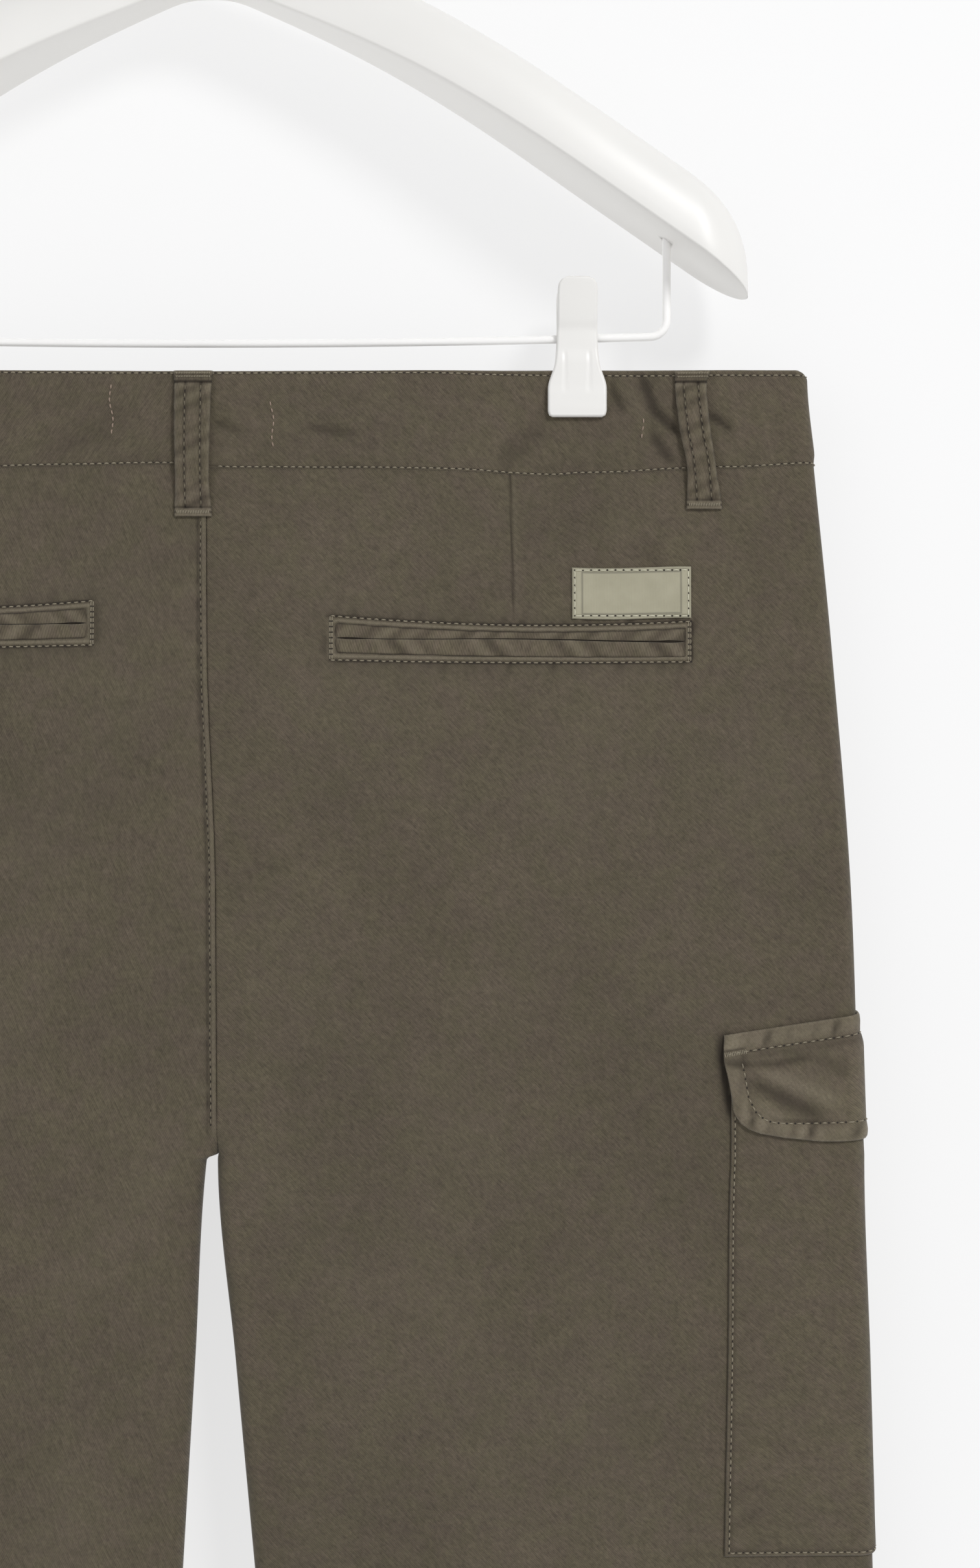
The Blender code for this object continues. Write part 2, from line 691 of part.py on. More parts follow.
def hanger_hook():
    """A stem that sweeps aside into most of a circle."""
    ring = HOOK_INSIDE + HOOK_RADIUS
    centre = Vector((0, 0, -HOOK_INSIDE))
    points = []
    tip, end = HOOK_ANGLES
    for angle in steps(tip, end, HOOK_STEPS):
        a = math.radians(angle)
        points.append(centre + Vector((ring * math.cos(a), 0, ring * math.sin(a))))
    a = math.radians(end)
    leave = Vector((math.sin(a), 0, -math.cos(a)))
    p0, p3 = points[-1], Vector((0, 0, centre.z - ring - HOOK_SWEEP_DEEP))
    p1, p2 = p0 + leave * HOOK_SWEEP, p3 + Vector((0, 0, HOOK_SWEEP))
    for t in steps(0, 1, HOOK_SWEEP_STEPS)[1:]:
        p = p0 * (1 - t) ** 3 + p1 * 3 * t * (1 - t) ** 2 + p2 * 3 * t * t * (1 - t) + p3 * t**3
        points.append(p)
    points.append(Vector((0, 0, WAIST_Z - neck_top_drop() - SOCKET_DEEP + HOOK_END_GAP)))
    return wire("hanger_hook", points, HOOK_RADIUS, WHITE_WIRE)


# A clip half from the top of its tab to the end of its jaw: half-width and the distance of its inner
# face from the middle plane.
ClipRow = namedtuple("ClipRow", "drop half inner")
CLIP_ROWS = [
    ClipRow(-36.0, 4.2, 8.2),
    ClipRow(-35.0, 6.2, 8.0),
    ClipRow(-32.5, 7.5, 7.3),
    ClipRow(-29.0, 7.7, 6.3),
    ClipRow(-20.0, 7.7, 3.6),
    ClipRow(-16.0, 7.8, 2.0),
    ClipRow(-10.0, 8.0, 2.0),
    ClipRow(-4.0, 8.6, 2.6),
    ClipRow(6.0, 11.3, 2.6),
    ClipRow(14.0, 11.3, 2.6),
    ClipRow(16.0, 10.8, 2.6),
    ClipRow(16.7, 9.6, 2.6),
]


def clip_half(name, side, face):
    """One jaw and its finger tab. Its outer face is a sheet that is thickened inwards."""
    rows = []
    for row in CLIP_ROWS:
        xs = steps(side * CLIP_X - row.half * MM, side * CLIP_X + row.half * MM, 2)
        out = face * (row.inner * MM + CLIP_THICK)
        rows.append([Vector((x, out, WAIST_Z - row.drop * MM)) for x in xs])
    return shell(name, rows, CLIP_THICK, face == BACK, WHITE_PLASTIC, HANGER_ROUGHNESS)


def build():
    for obj in list(bpy.data.objects):
        bpy.data.objects.remove(obj, do_unlink=True)
    for name in ("cargo_shorts", "cutters"):
        bpy.context.scene.collection.children.link(bpy.data.collections.new(name))
    for side, word in ((RIGHT, "right"), (LEFT, "left")):
        back_panel("back_" + word, side)
        front_panel("front_" + word, side)
        hip_piece("front_hip_" + word, side)
        waistband("waistband_" + word, side)
        cargo_pocket("cargo_pocket_" + word, side)
        cargo_flap("cargo_flap_" + word, side)
        clip_half("clip_" + word + "_back", side, BACK)
        clip_half("clip_" + word + "_front", side, FRONT)
    for loop in LOOPS:
        belt_loop(loop)
    for welt in WELTS:
        back_welt(welt)
    label_patch()
    waist_button()
    hanger_shoulders()
    hanger_hook()
    trouser_bar()


build()
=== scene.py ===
import json
import math

import bmesh
import bpy
import numpy as np
from mathutils import Matrix, Vector
from mathutils.bvhtree import BVHTree

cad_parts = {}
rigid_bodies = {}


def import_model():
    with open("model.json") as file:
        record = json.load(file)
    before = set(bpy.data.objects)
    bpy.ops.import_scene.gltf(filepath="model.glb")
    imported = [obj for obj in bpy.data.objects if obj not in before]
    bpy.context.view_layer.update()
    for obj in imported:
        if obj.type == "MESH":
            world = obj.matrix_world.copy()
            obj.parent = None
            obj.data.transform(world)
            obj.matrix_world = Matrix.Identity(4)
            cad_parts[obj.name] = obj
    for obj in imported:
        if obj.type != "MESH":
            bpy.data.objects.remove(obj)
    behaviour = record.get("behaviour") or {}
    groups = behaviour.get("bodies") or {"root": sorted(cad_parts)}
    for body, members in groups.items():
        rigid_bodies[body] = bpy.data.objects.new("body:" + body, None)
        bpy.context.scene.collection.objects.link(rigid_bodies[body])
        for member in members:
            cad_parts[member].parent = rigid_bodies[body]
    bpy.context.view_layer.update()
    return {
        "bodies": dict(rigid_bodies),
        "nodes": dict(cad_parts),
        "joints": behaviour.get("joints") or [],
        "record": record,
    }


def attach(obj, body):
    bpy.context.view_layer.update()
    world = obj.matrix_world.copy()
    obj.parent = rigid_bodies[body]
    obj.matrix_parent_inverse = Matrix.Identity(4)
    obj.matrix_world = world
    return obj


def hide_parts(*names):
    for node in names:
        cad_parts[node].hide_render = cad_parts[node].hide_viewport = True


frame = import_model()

# Cargo bermuda shorts on a clip hanger, seen from the back. Cloth is worked out in millimetres: X to
# the right, "drop" down from the waistband's top edge, "turn" along the cloth from the side fold
# (behind it negative, in front positive), "lift" out of the cloth.

mm = 0.001
right, left = 1, -1
words = {right: "Right", left: "Left"}
waistZ = -0.244

# The body's edges in mm, as in the frame: inner edges, side folds, half-depth at the fold and belly.
bodyTable = {
    "drop": [0, 36, 105, 205, 298.8, 300, 302, 380, 540],
    "rightInner": [0.04, 0.04, 0.5, 3.99, 4.09, 3.89, 3.6, 10.5, 25.5],
    "rightSide": [230.0, 233.4, 240.2, 248.0, 251.3, 251.4, 251.4, 253.8, 258.2],
    "leftInner": [0.04, 0.04, -0.42, -3.91, -4.01, -3.81, 0.7, 5.2, 14.7],
    "leftSide": [230.0, 233.2, 240.0, 246.4, 248.0, 248.0, 248.0, 247.8, 247.0],
    "edge": [3.6, 4.2, 5.2, 5.8, 6.0, 6.0, 6.0, 6.0, 6.0],
    "belly": [2.0, 2.6, 3.8, 4.6, 4.6, 4.6, 4.6, 4.4, 4.2],
}

garment = {
    "bandHeight": 36.5,
    "crotchStart": 284.0,
    "crotchDrop": 300.0,
    "hemDrop": 540.0,
    "cloth": 1.2,
    "seamGap": 0.3,
    "closed": 0.05,
    "foldEnd": 0.28,
    "laidGap": 0.4,
    "bandProud": 0.8,
    "legsFrom": 200.0,
    "legsRun": 170.0,
    "clipX": 142.0,
    "clipHalf": 11.5,
    "clipFoot": 17.0,
    "pinchAcross": (14.0, 52.0),  # from the clip's middle: all of it, and how far it runs out
    "pinchDown": (6.0, 120.0),
}


# The cloth's shape

def smoothCurve(xs, ys, at, runOut=False):
    # a curve through points that never overshoots them; runOut lets its end keep its slope
    x, y = np.array(xs, float), np.array(ys, float)
    rate = np.diff(y) / np.diff(x)
    slopes = np.zeros(len(x))
    inside = np.nonzero(rate[:-1] * rate[1:] > 0)[0]
    slopes[inside + 1] = 2 * rate[inside] * rate[inside + 1] / (rate[inside] + rate[inside + 1])
    if runOut:
        slopes[-1] = 1.5 * rate[-1] - 0.5 * slopes[-2]
    d = np.clip(at, x[0], x[-1])
    i = np.clip(np.searchsorted(x, d, side="right") - 1, 0, len(x) - 2)
    span = x[i + 1] - x[i]
    t = (d - x[i]) / span
    value = (2 * t**3 - 3 * t**2 + 1) * y[i] + (t**3 - 2 * t**2 + t) * slopes[i] * span
    return value + (3 * t**2 - 2 * t**3) * y[i + 1] + (t**3 - t**2) * slopes[i + 1] * span


def bodyAt(column, drop):
    return smoothCurve(bodyTable["drop"], bodyTable[column], drop, runOut=True)


def ease(t):
    t = np.clip(t, 0, 1)
    return t * t * (3 - 2 * t)


def bump(distance, width):
    return np.exp(-(distance / width) ** 2)


def innerAcross(side, drop):
    return bodyAt("rightInner" if side == right else "leftInner", drop)


def sideAcross(side, drop):
    return bodyAt("rightSide" if side == right else "leftSide", drop)


def halfDepth(side, across, drop):
    edge, start = bodyAt("edge", drop), innerAcross(side, drop)
    end = sideAcross(side, drop) - edge
    s = np.clip((across - start) / (end - start), 0, 1)
    leg = ease((drop - garment["legsFrom"]) / garment["legsRun"])
    bell = (1 - leg) * np.cos(math.pi * s / 2) ** 2 + leg * np.sin(math.pi * s) ** 2
    free = edge + bodyAt("belly", drop) * bell
    (wide, outRun), (deep, downRun) = garment["pinchAcross"], garment["pinchDown"]
    pinch = 1 - ease((np.abs(across - garment["clipX"]) - wide) / outRun)
    pinch = pinch * (1 - ease((drop - deep) / downRun))
    pinched = garment["cloth"] + garment["seamGap"] / 2 + 0.1
    return free * (1 - pinch) + pinched * pinch  # the clips press the cloth together


def foldLength(drop):
    return bodyAt("edge", drop) * math.pi / 2


def flatLength(side, drop):
    return sideAcross(side, drop) - innerAcross(side, drop) - 2 * bodyAt("edge", drop)


def turnOf(side, across, drop):
    # the distance round the cloth from the side fold to a place given across
    edge, inner = bodyAt("edge", drop), innerAcross(side, drop)
    flat = sideAcross(side, drop) - edge - across + edge * math.pi / 2
    folded = np.arccos(np.clip(1 - (across - inner) / edge, 0, 1))
    nearInner = foldLength(drop) + flatLength(side, drop) + (math.pi / 2 - folded) * edge
    return np.where(across < inner + edge, nearInner, flat)


def basePoint(side, turn, drop):
    turn, drop = np.broadcast_arrays(np.asarray(turn, float), np.asarray(drop, float))
    edge, inner, outer = bodyAt("edge", drop), innerAcross(side, drop), sideAcross(side, drop)
    t, fold, flat = np.abs(turn), foldLength(drop), flatLength(side, drop)
    angle = np.minimum(t / edge, math.pi / 2)
    acrossFold, outFold = outer - edge + edge * np.cos(angle), edge * np.sin(angle)
    acrossFlat = outer - edge - (t - fold)
    innerAngle = np.clip(math.pi / 2 - (t - fold - flat) / edge, 0, math.pi / 2)
    acrossInner = inner + edge * (1 - np.cos(innerAngle))
    fall = np.clip((drop - garment["crotchStart"]) / (garment["crotchDrop"] - garment["crotchStart"]), 0, 1)
    rounding = np.sqrt(np.clip(1 - fall**2 * np.cos(innerAngle) ** 2, 0, 1))
    outInner = halfDepth(side, inner + edge, drop) * rounding
    across = np.where(t < fold, acrossFold, np.where(t > fold + flat, acrossInner, acrossFlat))
    out = np.where(t < fold, outFold, halfDepth(side, acrossFlat, drop))
    out = np.where(t > fold + flat, outInner, out)
    out = np.maximum(out, np.minimum(garment["foldEnd"], t))
    return np.stack([side * across, np.where(turn < 0, -out, out), waistZ / mm - drop], axis=-1)


def clothNormal(side, turn, drop):
    step = 0.6
    along = basePoint(side, turn + step, drop) - basePoint(side, turn - step, drop)
    down = basePoint(side, turn, drop + step) - basePoint(side, turn, drop - step)
    normal = np.cross(along, down)
    normal /= np.maximum(np.linalg.norm(normal, axis=-1, keepdims=True), 1e-9)
    return normal * -side


def wave(value, period, seed):
    # an uneven ripple: its crests are neither evenly spaced nor of one height
    t = value / period
    return 0.5 * np.sin(2 * math.pi * t + seed) + 0.3 * np.sin(2 * math.pi * t * 1.37 + 2.1 * seed) \
        + 0.2 * np.sin(2 * math.pi * t * 0.61 + 3.7 * seed)


# How far the waistband's lower edge dips below its nominal place, and its upper one rises, along X.
bandDip = {
    "x": [-260, -235, -200, -142, -60, -12, -5, 10, 60, 100, 122, 132, 142, 158, 178, 204, 232, 260],
    "dip": [-1, -1, 0.2, 1.9, -0.6, -1.2, -0.4, 0.4, 0.5, 1.1, 2.4, 2.7, 1.9, 1.6, 0.5, 0, -1.4, -1.4],
    "riseX": [-260, -142, -60, 0, 60, 100, 142, 232, 260],
    "rise": [1.2, 1.5, 0.8, 0.5, 0.8, 1.2, 1.5, 1.2, 1.2],
    "from": 12.0,
    "runOut": 42.0,
}


def slipped(side, turn, drop):
    # the drop that a nominal one moves to, near the waistband's edges
    x = basePoint(side, turn, drop)[..., 0]
    dip = smoothCurve(bandDip["x"], bandDip["dip"], x) * np.where(turn < 0, 1, 0.5)
    start, edge = bandDip["from"], garment["bandHeight"]
    rise = smoothCurve(bandDip["riseX"], bandDip["rise"], x) * (1 - ease(drop / start))
    above, below = ease((drop - start) / (edge - start)), 1 - ease((drop - edge) / bandDip["runOut"])
    return drop + dip * np.where(drop < edge + 0.1, above, below) - rise


# Soft troughs and ridges: both ends (X, drop), height (mm) and width (mm).
creases = {
    "back": [
        (153.5, 3, 160, 14.5, -1.1, 1.6), (166.8, 2, 172.4, 15.2, -1.5, 1.9),
        (171.4, 14, 181, 22.5, -1.6, 1.7),
        (170, 22, 178.5, 34, -1.3, 1.8), (161, 6, 168, 22, 0.7, 2.6), (192, 15.5, 201, 21.5, -1.4, 1.5),
        (168, 64, 173, 78, -0.5, 5), (196, 46, 200, 62, -0.5, 6), (128, 18, 112, 34, -0.5, 4),
        (152, 42, 158, 66, 0.4, 6), (126, 44, 96, 76, 0.5, 9), (40, 21, 56, 23.6, -0.9, 1.8),
        (3, 19, 12, 22.5, -0.9, 1.8), (62, 9, 84, 17, 0.35, 4), (206, 60, 226, 120, -0.4, 9),
        (20, 70, 60, 88, 0.4, 7), (192, 136, 238, 176, 0.4, 15), (30, 150, 90, 215, -0.6, 16),
        (120, 150, 190, 215, 0.5, 18),
        (40, 250, 120, 300, 0.7, 15), (14, 300, 60, 350, 0.6, 10), (10, 330, 50, 400, -0.6, 10),
        (150, 240, 190, 330, -0.6, 14), (90, 330, 110, 450, 0.6, 16), (60, 400, 80, 520, -0.6, 14),
        (150, 380, 165, 500, 0.7, 17), (200, 465, 215, 530, -0.6, 12), (120, 480, 135, 535, -0.4, 9),
        (-30, 14, -60, 32, -0.4, 5), (-120, 20, -96, 52, 0.4, 8), (-160, 12, -182, 32, -0.6, 4),
        (-20, 120, -70, 190, 0.6, 15), (-120, 130, -190, 210, -0.5, 18), (-60, 230, -110, 310, 0.6, 15),
        (-14, 300, -60, 360, 0.6, 11), (-180, 240, -200, 330, -0.6, 14), (-110, 350, -125, 470, -0.6, 15),
        (-50, 400, -65, 520, 0.7, 14), (-170, 400, -180, 520, 0.6, 15), (-205, 60, -226, 130, 0.5, 10),
    ],
    "front": [
        (126, 20, 100, 60, 0.5, 8), (158, 10, 180, 40, -0.5, 5), (20, 60, 70, 96, -0.5, 9),
        (30, 140, 100, 200, 0.7, 16), (60, 220, 130, 300, -0.6, 16), (12, 296, 70, 345, 0.7, 10),
        (110, 330, 128, 480, 0.7, 16), (60, 390, 72, 520, -0.6, 13), (200, 470, 212, 532, 0.5, 10),
        (-126, 20, -98, 56, 0.5, 8), (-160, 12, -184, 40, -0.5, 5), (-24, 66, -72, 110, 0.5, 10),
        (-34, 150, -96, 214, -0.7, 16), (-64, 230, -124, 306, 0.6, 15), (-14, 300, -66, 356, -0.6, 10),
        (-104, 340, -122, 476, -0.6, 16), (-56, 400, -70, 524, 0.6, 13), (-196, 466, -210, 530, -0.5, 11),
    ],
}


def beside(x, drop, x0, d0, x1, d1):
    # where places lie along a line between two ends (0 to 1), and how far from it
    runX, runD = x1 - x0, d1 - d0
    length = math.hypot(runX, runD)
    along = ((x - x0) * runX + (drop - d0) * runD) / length**2
    return along, np.abs((x - x0) * runD - (drop - d0) * runX) / length


def broadFolds(side, turn, drop, widest=100.0):
    # what every layer of cloth shares: the slow sway of the panels and the creases up to a width
    turn, drop = np.broadcast_arrays(np.asarray(turn, float), np.asarray(drop, float))
    x = basePoint(side, turn, drop)[..., 0]
    sway = 0.35 * wave(x + 0.35 * drop, 95, 1.3) + 0.28 * wave(drop - 0.25 * x, 120, 2.9)
    height = sway * ease(drop / 60) * (widest > 20)
    for face, behind in (("back", True), ("front", False)):
        flank = turn < 0 if behind else turn >= 0
        for *ends, high, width in creases[face]:
            if width > widest:
                continue
            s, away = beside(x, drop, *ends)
            bend = away + 0.08 * width * np.sin(s * 5 + ends[0])
            taper = ease((s + 0.25) / 0.5) * (1 - ease((s - 0.75) / 0.5))
            height = height + np.where(flank, high * bump(bend, width) * taper, 0)
    nearFold = ease((np.abs(turn) - 2) / 14)  # the folds die out round the side
    nearInner = ease((foldLength(drop) + flatLength(side, drop) - np.abs(turn) + 4) / 14)
    nearInner = np.where(drop > 280, nearInner, 1)
    offClip = np.abs(np.abs(x) - garment["clipX"]) - garment["clipHalf"]
    offClip = np.maximum(offClip, drop - garment["clipFoot"])
    nearClip = np.where(height > 0, ease((offClip - 0.5) / 7), ease((offClip + 0.5) / 3))
    return height * nearFold * nearInner * nearClip


def clothPoint(side, turn, drop, lift=0.0):
    height = np.asarray(broadFolds(side, turn, drop) + lift)
    return basePoint(side, turn, drop) + clothNormal(side, turn, drop) * height[..., None]


def seamX(drop):
    return innerAcross(right, drop) - 0.15


def pointAtX(behind, x, drop, lift=0.0):
    # a lifted point of the back or front at an X, on whichever half it falls
    x, drop, lift = np.broadcast_arrays(*(np.asarray(value, float) for value in (x, drop, lift)))
    way, halves = -1 if behind else 1, {}
    for side in words:
        across = np.maximum(side * x, innerAcross(side, drop))
        halves[side] = clothPoint(side, way * turnOf(side, across, drop), drop, lift)
    return np.where((x >= seamX(drop))[..., None], halves[right], halves[left])


def graded(start, stop, step, fine=()):
    # places from start to stop, closer together near the fine spots: (place, reach, small step)
    spots = [float(start)]
    while spots[-1] < stop:
        size = step
        for place, reach, small in fine:
            size = min(size, small + 0.3 * max(abs(spots[-1] - place) - reach, 0))
        spots.append(spots[-1] + size)
    spots = np.array(spots)
    return start + (spots - start) * (stop - start) / (spots[-1] - start)


def linked(name, data):
    piece = bpy.data.objects.new(name, data)
    bpy.context.scene.collection.objects.link(piece)
    return piece


def smoothPiece(name, verts, faces):
    # a piece from places in metres, shaded smooth
    mesh = bpy.data.meshes.new(name)
    mesh.from_pydata(verts, [], faces)
    mesh.polygons.foreach_set("use_smooth", np.ones(len(mesh.polygons), bool))
    return linked(name, mesh)


def gridFaces(rows, columns):
    a = (np.arange(rows - 1)[:, None] * columns + np.arange(columns - 1)).ravel()
    return np.stack([a, a + 1, a + columns + 1, a + columns], axis=1)


def tubeFaces(rings, count, base=0):
    # the sides of a closed row of rings with equally many points, and a cap at each end
    faces = []
    for r in range(rings - 1):
        for k in range(count):
            a, b = base + r * count + k, base + r * count + (k + 1) % count
            faces.append((a, b, b + count, a + count))
    last = base + (rings - 1) * count
    return faces + [tuple(base + k for k in reversed(range(count))), tuple(last + k for k in range(count))]


def clothSheet(name, points, flip, cloth, wear, shade):
    # a sheet from rows and columns of points in mm, with the values that its material reads
    rows, columns = points.shape[:2]
    faces = gridFaces(rows, columns)
    faces = faces[:, ::-1] if flip else faces
    piece = smoothPiece(name, (points.reshape(-1, 3) * mm).tolist(), faces.tolist())
    made = piece.data.attributes.new("cloth", "FLOAT_VECTOR", "POINT")
    made.data.foreach_set("vector", cloth.reshape(-1, 3).astype(np.float32).ravel())
    for key, values in (("wear", wear), ("shade", shade)):
        full = np.broadcast_to(values, (rows, columns)).ravel()
        made = piece.data.attributes.new(key, "FLOAT", "POINT")
        made.data.foreach_set("value", np.clip(full, 0, 1).astype(np.float32))
    return piece


def dressed(piece, material, nodes):
    # gives a piece its finish, lets it ride on the frame's one body and stand for CAD nodes
    piece.data.materials.clear()
    piece.data.materials.append(material)
    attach(piece, "root")
    if nodes:
        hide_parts(*nodes)
    return piece


# Materials

def newGroup(name, inputs, outputs):
    group = bpy.data.node_groups.new(name, "ShaderNodeTree")
    for label, kind, value in inputs:
        socket = group.interface.new_socket(label, in_out="INPUT", socket_type=kind)
        if value is not None:
            socket.default_value = value
    for label, kind in outputs:
        group.interface.new_socket(label, in_out="OUTPUT", socket_type=kind)
    return group, group.nodes.new("NodeGroupInput"), group.nodes.new("NodeGroupOutput")


def addNode(tree, kind, settings=None, values=None, links=None):
    # one node, with its settings, its fixed inputs and what feeds it
    node = tree.nodes.new(kind)
    for key, value in (settings or {}).items():
        setattr(node, key, value)
    for key, value in (values or {}).items():
        node.inputs[key].default_value = value
    for key, source in (links or {}).items():
        tree.links.new(source, node.inputs[key])
    return node


def mathNode(tree, operation, first, second=None):
    node = addNode(tree, "ShaderNodeMath", {"operation": operation})
    for k, value in enumerate((first, second)):
        if value is None:
            continue
        if isinstance(value, (int, float)):
            node.inputs[k].default_value = value
        else:
            tree.links.new(value, node.inputs[k])
    return node.outputs[0]


def mixColour(tree, factor, first, second):
    node = addNode(tree, "ShaderNodeMix", {"data_type": "RGBA"})
    for key, value in ((0, factor), (6, first), (7, second)):
        if isinstance(value, (int, float, tuple)):
            node.inputs[key].default_value = value
        else:
            tree.links.new(value, node.inputs[key])
    return node.outputs[2]


def weighted(tree, first, share, second, other):
    # a share of one value and another share of a second one
    first, second = mathNode(tree, "MULTIPLY", first, share), mathNode(tree, "MULTIPLY", second, other)
    return mathNode(tree, "ADD", first, second)


def noise(tree, place, scale, detail, roughness=0.5):
    values = {"Scale": scale, "Detail": detail, "Roughness": roughness}
    return addNode(tree, "ShaderNodeTexNoise", values=values, links={"Vector": place}).outputs[0]


def remap(tree, value, lowest=0.0, highest=1.0, low=0.0, high=1.0):
    values = {"From Min": lowest, "From Max": highest, "To Min": low, "To Max": high}
    return addNode(tree, "ShaderNodeMapRange", values=values, links={"Value": value}).outputs[0]


def scaled(tree, colour, level):
    # a colour, fixed or fed, made lighter or darker
    node = addNode(tree, "ShaderNodeVectorMath", {"operation": "SCALE"}, links={"Scale": level})
    if isinstance(colour, tuple):
        node.inputs[0].default_value = colour
    else:
        tree.links.new(colour, node.inputs[0])
    return node.outputs[0]


def twillGroup():
    # slanted ribs of twill with uneven yarns: a height and a tone
    group, given, out = newGroup(
        "twillWeave",
        [("Cloth", "NodeSocketVector", None), ("Slant", "NodeSocketFloat", 0.8),
         ("Pitch", "NodeSocketFloat", 0.6)],
        [("Height", "NodeSocketFloat"), ("Tone", "NodeSocketFloat")],
    )
    cloth = given.outputs["Cloth"]
    turned = addNode(group, "ShaderNodeVectorRotate", {"rotation_type": "Z_AXIS"},
                     links={"Vector": cloth, "Angle": given.outputs["Slant"]}).outputs[0]
    split = addNode(group, "ShaderNodeSeparateXYZ", links={"Vector": turned})
    stretch = addNode(group, "ShaderNodeVectorMath", {"operation": "MULTIPLY"},
                      {1: (1.3, 0.2, 1.0)}, {0: turned}).outputs[0]
    slub, yarn = noise(group, stretch, 1.0, 3.0, 0.7), noise(group, cloth, 0.62, 5.0, 0.9)
    shifted = mathNode(group, "ADD", split.outputs["X"], mathNode(group, "MULTIPLY", slub, 0.35))
    counted = mathNode(group, "DIVIDE", shifted, given.outputs["Pitch"])
    ribs = remap(group, mathNode(group, "SINE", mathNode(group, "MULTIPLY", counted, 2 * math.pi)), -1.0)
    spread = remap(group, weighted(group, slub, 0.45, yarn, 0.55), 0.38, 0.62)
    group.links.new(weighted(group, ribs, 0.65, yarn, 0.7), out.inputs["Height"])
    group.links.new(weighted(group, ribs, 0.35, spread, 0.65), out.inputs["Tone"])
    return group


def dyeGroup():
    # the cloudy tone of a garment dyed and washed after sewing: brown and olive patches
    group, given, out = newGroup(
        "garmentDye",
        [("Cloth", "NodeSocketVector", None), ("Brown", "NodeSocketColor", (0.09, 0.07, 0.05, 1)),
         ("Olive", "NodeSocketColor", (0.10, 0.09, 0.05, 1))],
        [("Colour", "NodeSocketColor")],
    )
    cloth = given.outputs["Cloth"]
    cloud, speck = noise(group, cloth, 0.022, 3.0, 0.6), noise(group, cloth, 0.13, 5.0, 0.75)
    level = remap(group, weighted(group, cloud, 0.5, speck, 0.5), 0.34, 0.66, 0.87, 1.13)
    olive = remap(group, noise(group, cloth, 0.08, 5.0, 0.7), 0.4, 0.6)
    hue = mixColour(group, olive, given.outputs["Brown"], given.outputs["Olive"])
    group.links.new(scaled(group, hue, level), out.inputs["Colour"])
    return group


def wornShadedGroup():
    # pale, rubbed ridges broken up by noise, and painted shade in seams, grooves, creases and recesses, mixed
    # towards the Hollow colour by the Shade value
    group, given, out = newGroup(
        "wornRidgesPaintedShade",
        [("Cloth", "NodeSocketVector", None), ("Colour", "NodeSocketColor", (0.1, 0.1, 0.1, 1)),
         ("Rubbed", "NodeSocketColor", (0.2, 0.18, 0.14, 1)),
         ("Hollow", "NodeSocketColor", (0.03, 0.02, 0.02, 1)),
         ("Wear", "NodeSocketFloat", 0.0), ("Shade", "NodeSocketFloat", 0.0)],
        [("Colour", "NodeSocketColor")],
    )
    grit = noise(group, given.outputs["Cloth"], 0.9, 4.0, 0.7)
    rubbed = mathNode(group, "MULTIPLY", given.outputs["Wear"], remap(group, grit, 0.3, 0.7, 0.35, 1.1))
    pale = mixColour(group, rubbed, given.outputs["Colour"], given.outputs["Rubbed"])
    wornShaded = mixColour(group, given.outputs["Shade"], pale, given.outputs["Hollow"])
    group.links.new(wornShaded, out.inputs["Colour"])
    return group


groups = {"twill": twillGroup(), "dye": dyeGroup(), "wornShaded": wornShadedGroup()}

dyesAndShade = {
    "brown": (0.0882, 0.0703, 0.0500, 1),
    "olive": (0.0865, 0.0726, 0.0468, 1),
    "rubbed": (0.1720, 0.1470, 0.1050, 1),
    # hollow: the dark tone of the painted shade
    "hollow": (0.0260, 0.0200, 0.0140, 1),
}


def newMaterial(name, fixed=None):
    material = bpy.data.materials.new(name)
    material.use_nodes = True
    shader = material.node_tree.nodes["Principled BSDF"]
    for key, value in (fixed or {}).items():
        shader.inputs[key].default_value = value
    return material, material.node_tree, shader


def attribute(tree, name):
    # a value that the cloth meshes carry: the place on the cut cloth, wear or shade
    node = addNode(tree, "ShaderNodeAttribute", {"attribute_name": name})
    return node.outputs["Vector" if name == "cloth" else "Fac"]


def grouped(tree, key, values, links):
    return addNode(tree, "ShaderNodeGroup", {"node_tree": groups[key]}, values, links)


def raised(tree, shader, height, strength, distance):
    values = {"Strength": strength, "Distance": distance}
    relief = addNode(tree, "ShaderNodeBump", values=values, links={"Height": height})
    tree.links.new(relief.outputs[0], shader.inputs["Normal"])


def twillMaterial(name, slant, lighter=1.0):
    # olive-brown cotton twill
    material, tree, shader = newMaterial(name, {
        "Roughness": 0.92, "Specular IOR Level": 0.25, "Sheen Weight": 0.12, "Sheen Roughness": 0.5})
    cloth, wear, shade = attribute(tree, "cloth"), attribute(tree, "wear"), attribute(tree, "shade")
    tinted = {key: tuple(c * lighter for c in dyesAndShade[key][:3]) + (1,) for key in dyesAndShade}
    dye = grouped(tree, "dye", {"Brown": tinted["brown"], "Olive": tinted["olive"]}, {"Cloth": cloth})
    weave = grouped(tree, "twill", {"Slant": slant, "Pitch": 0.62}, {"Cloth": cloth})
    ribbed = scaled(tree, dye.outputs["Colour"], remap(tree, weave.outputs["Tone"], low=0.54, high=1.45))
    # rubbed ridges from the wear value, and painted shade from the shade value
    wornShaded = grouped(tree, "wornShaded", {"Rubbed": tinted["rubbed"], "Hollow": tinted["hollow"]},
                   {"Cloth": cloth, "Colour": ribbed, "Wear": wear, "Shade": shade})
    tree.links.new(wornShaded.outputs["Colour"], shader.inputs["Base Color"])
    raised(tree, shader, weave.outputs["Height"], 0.55, 0.00012)
    return material


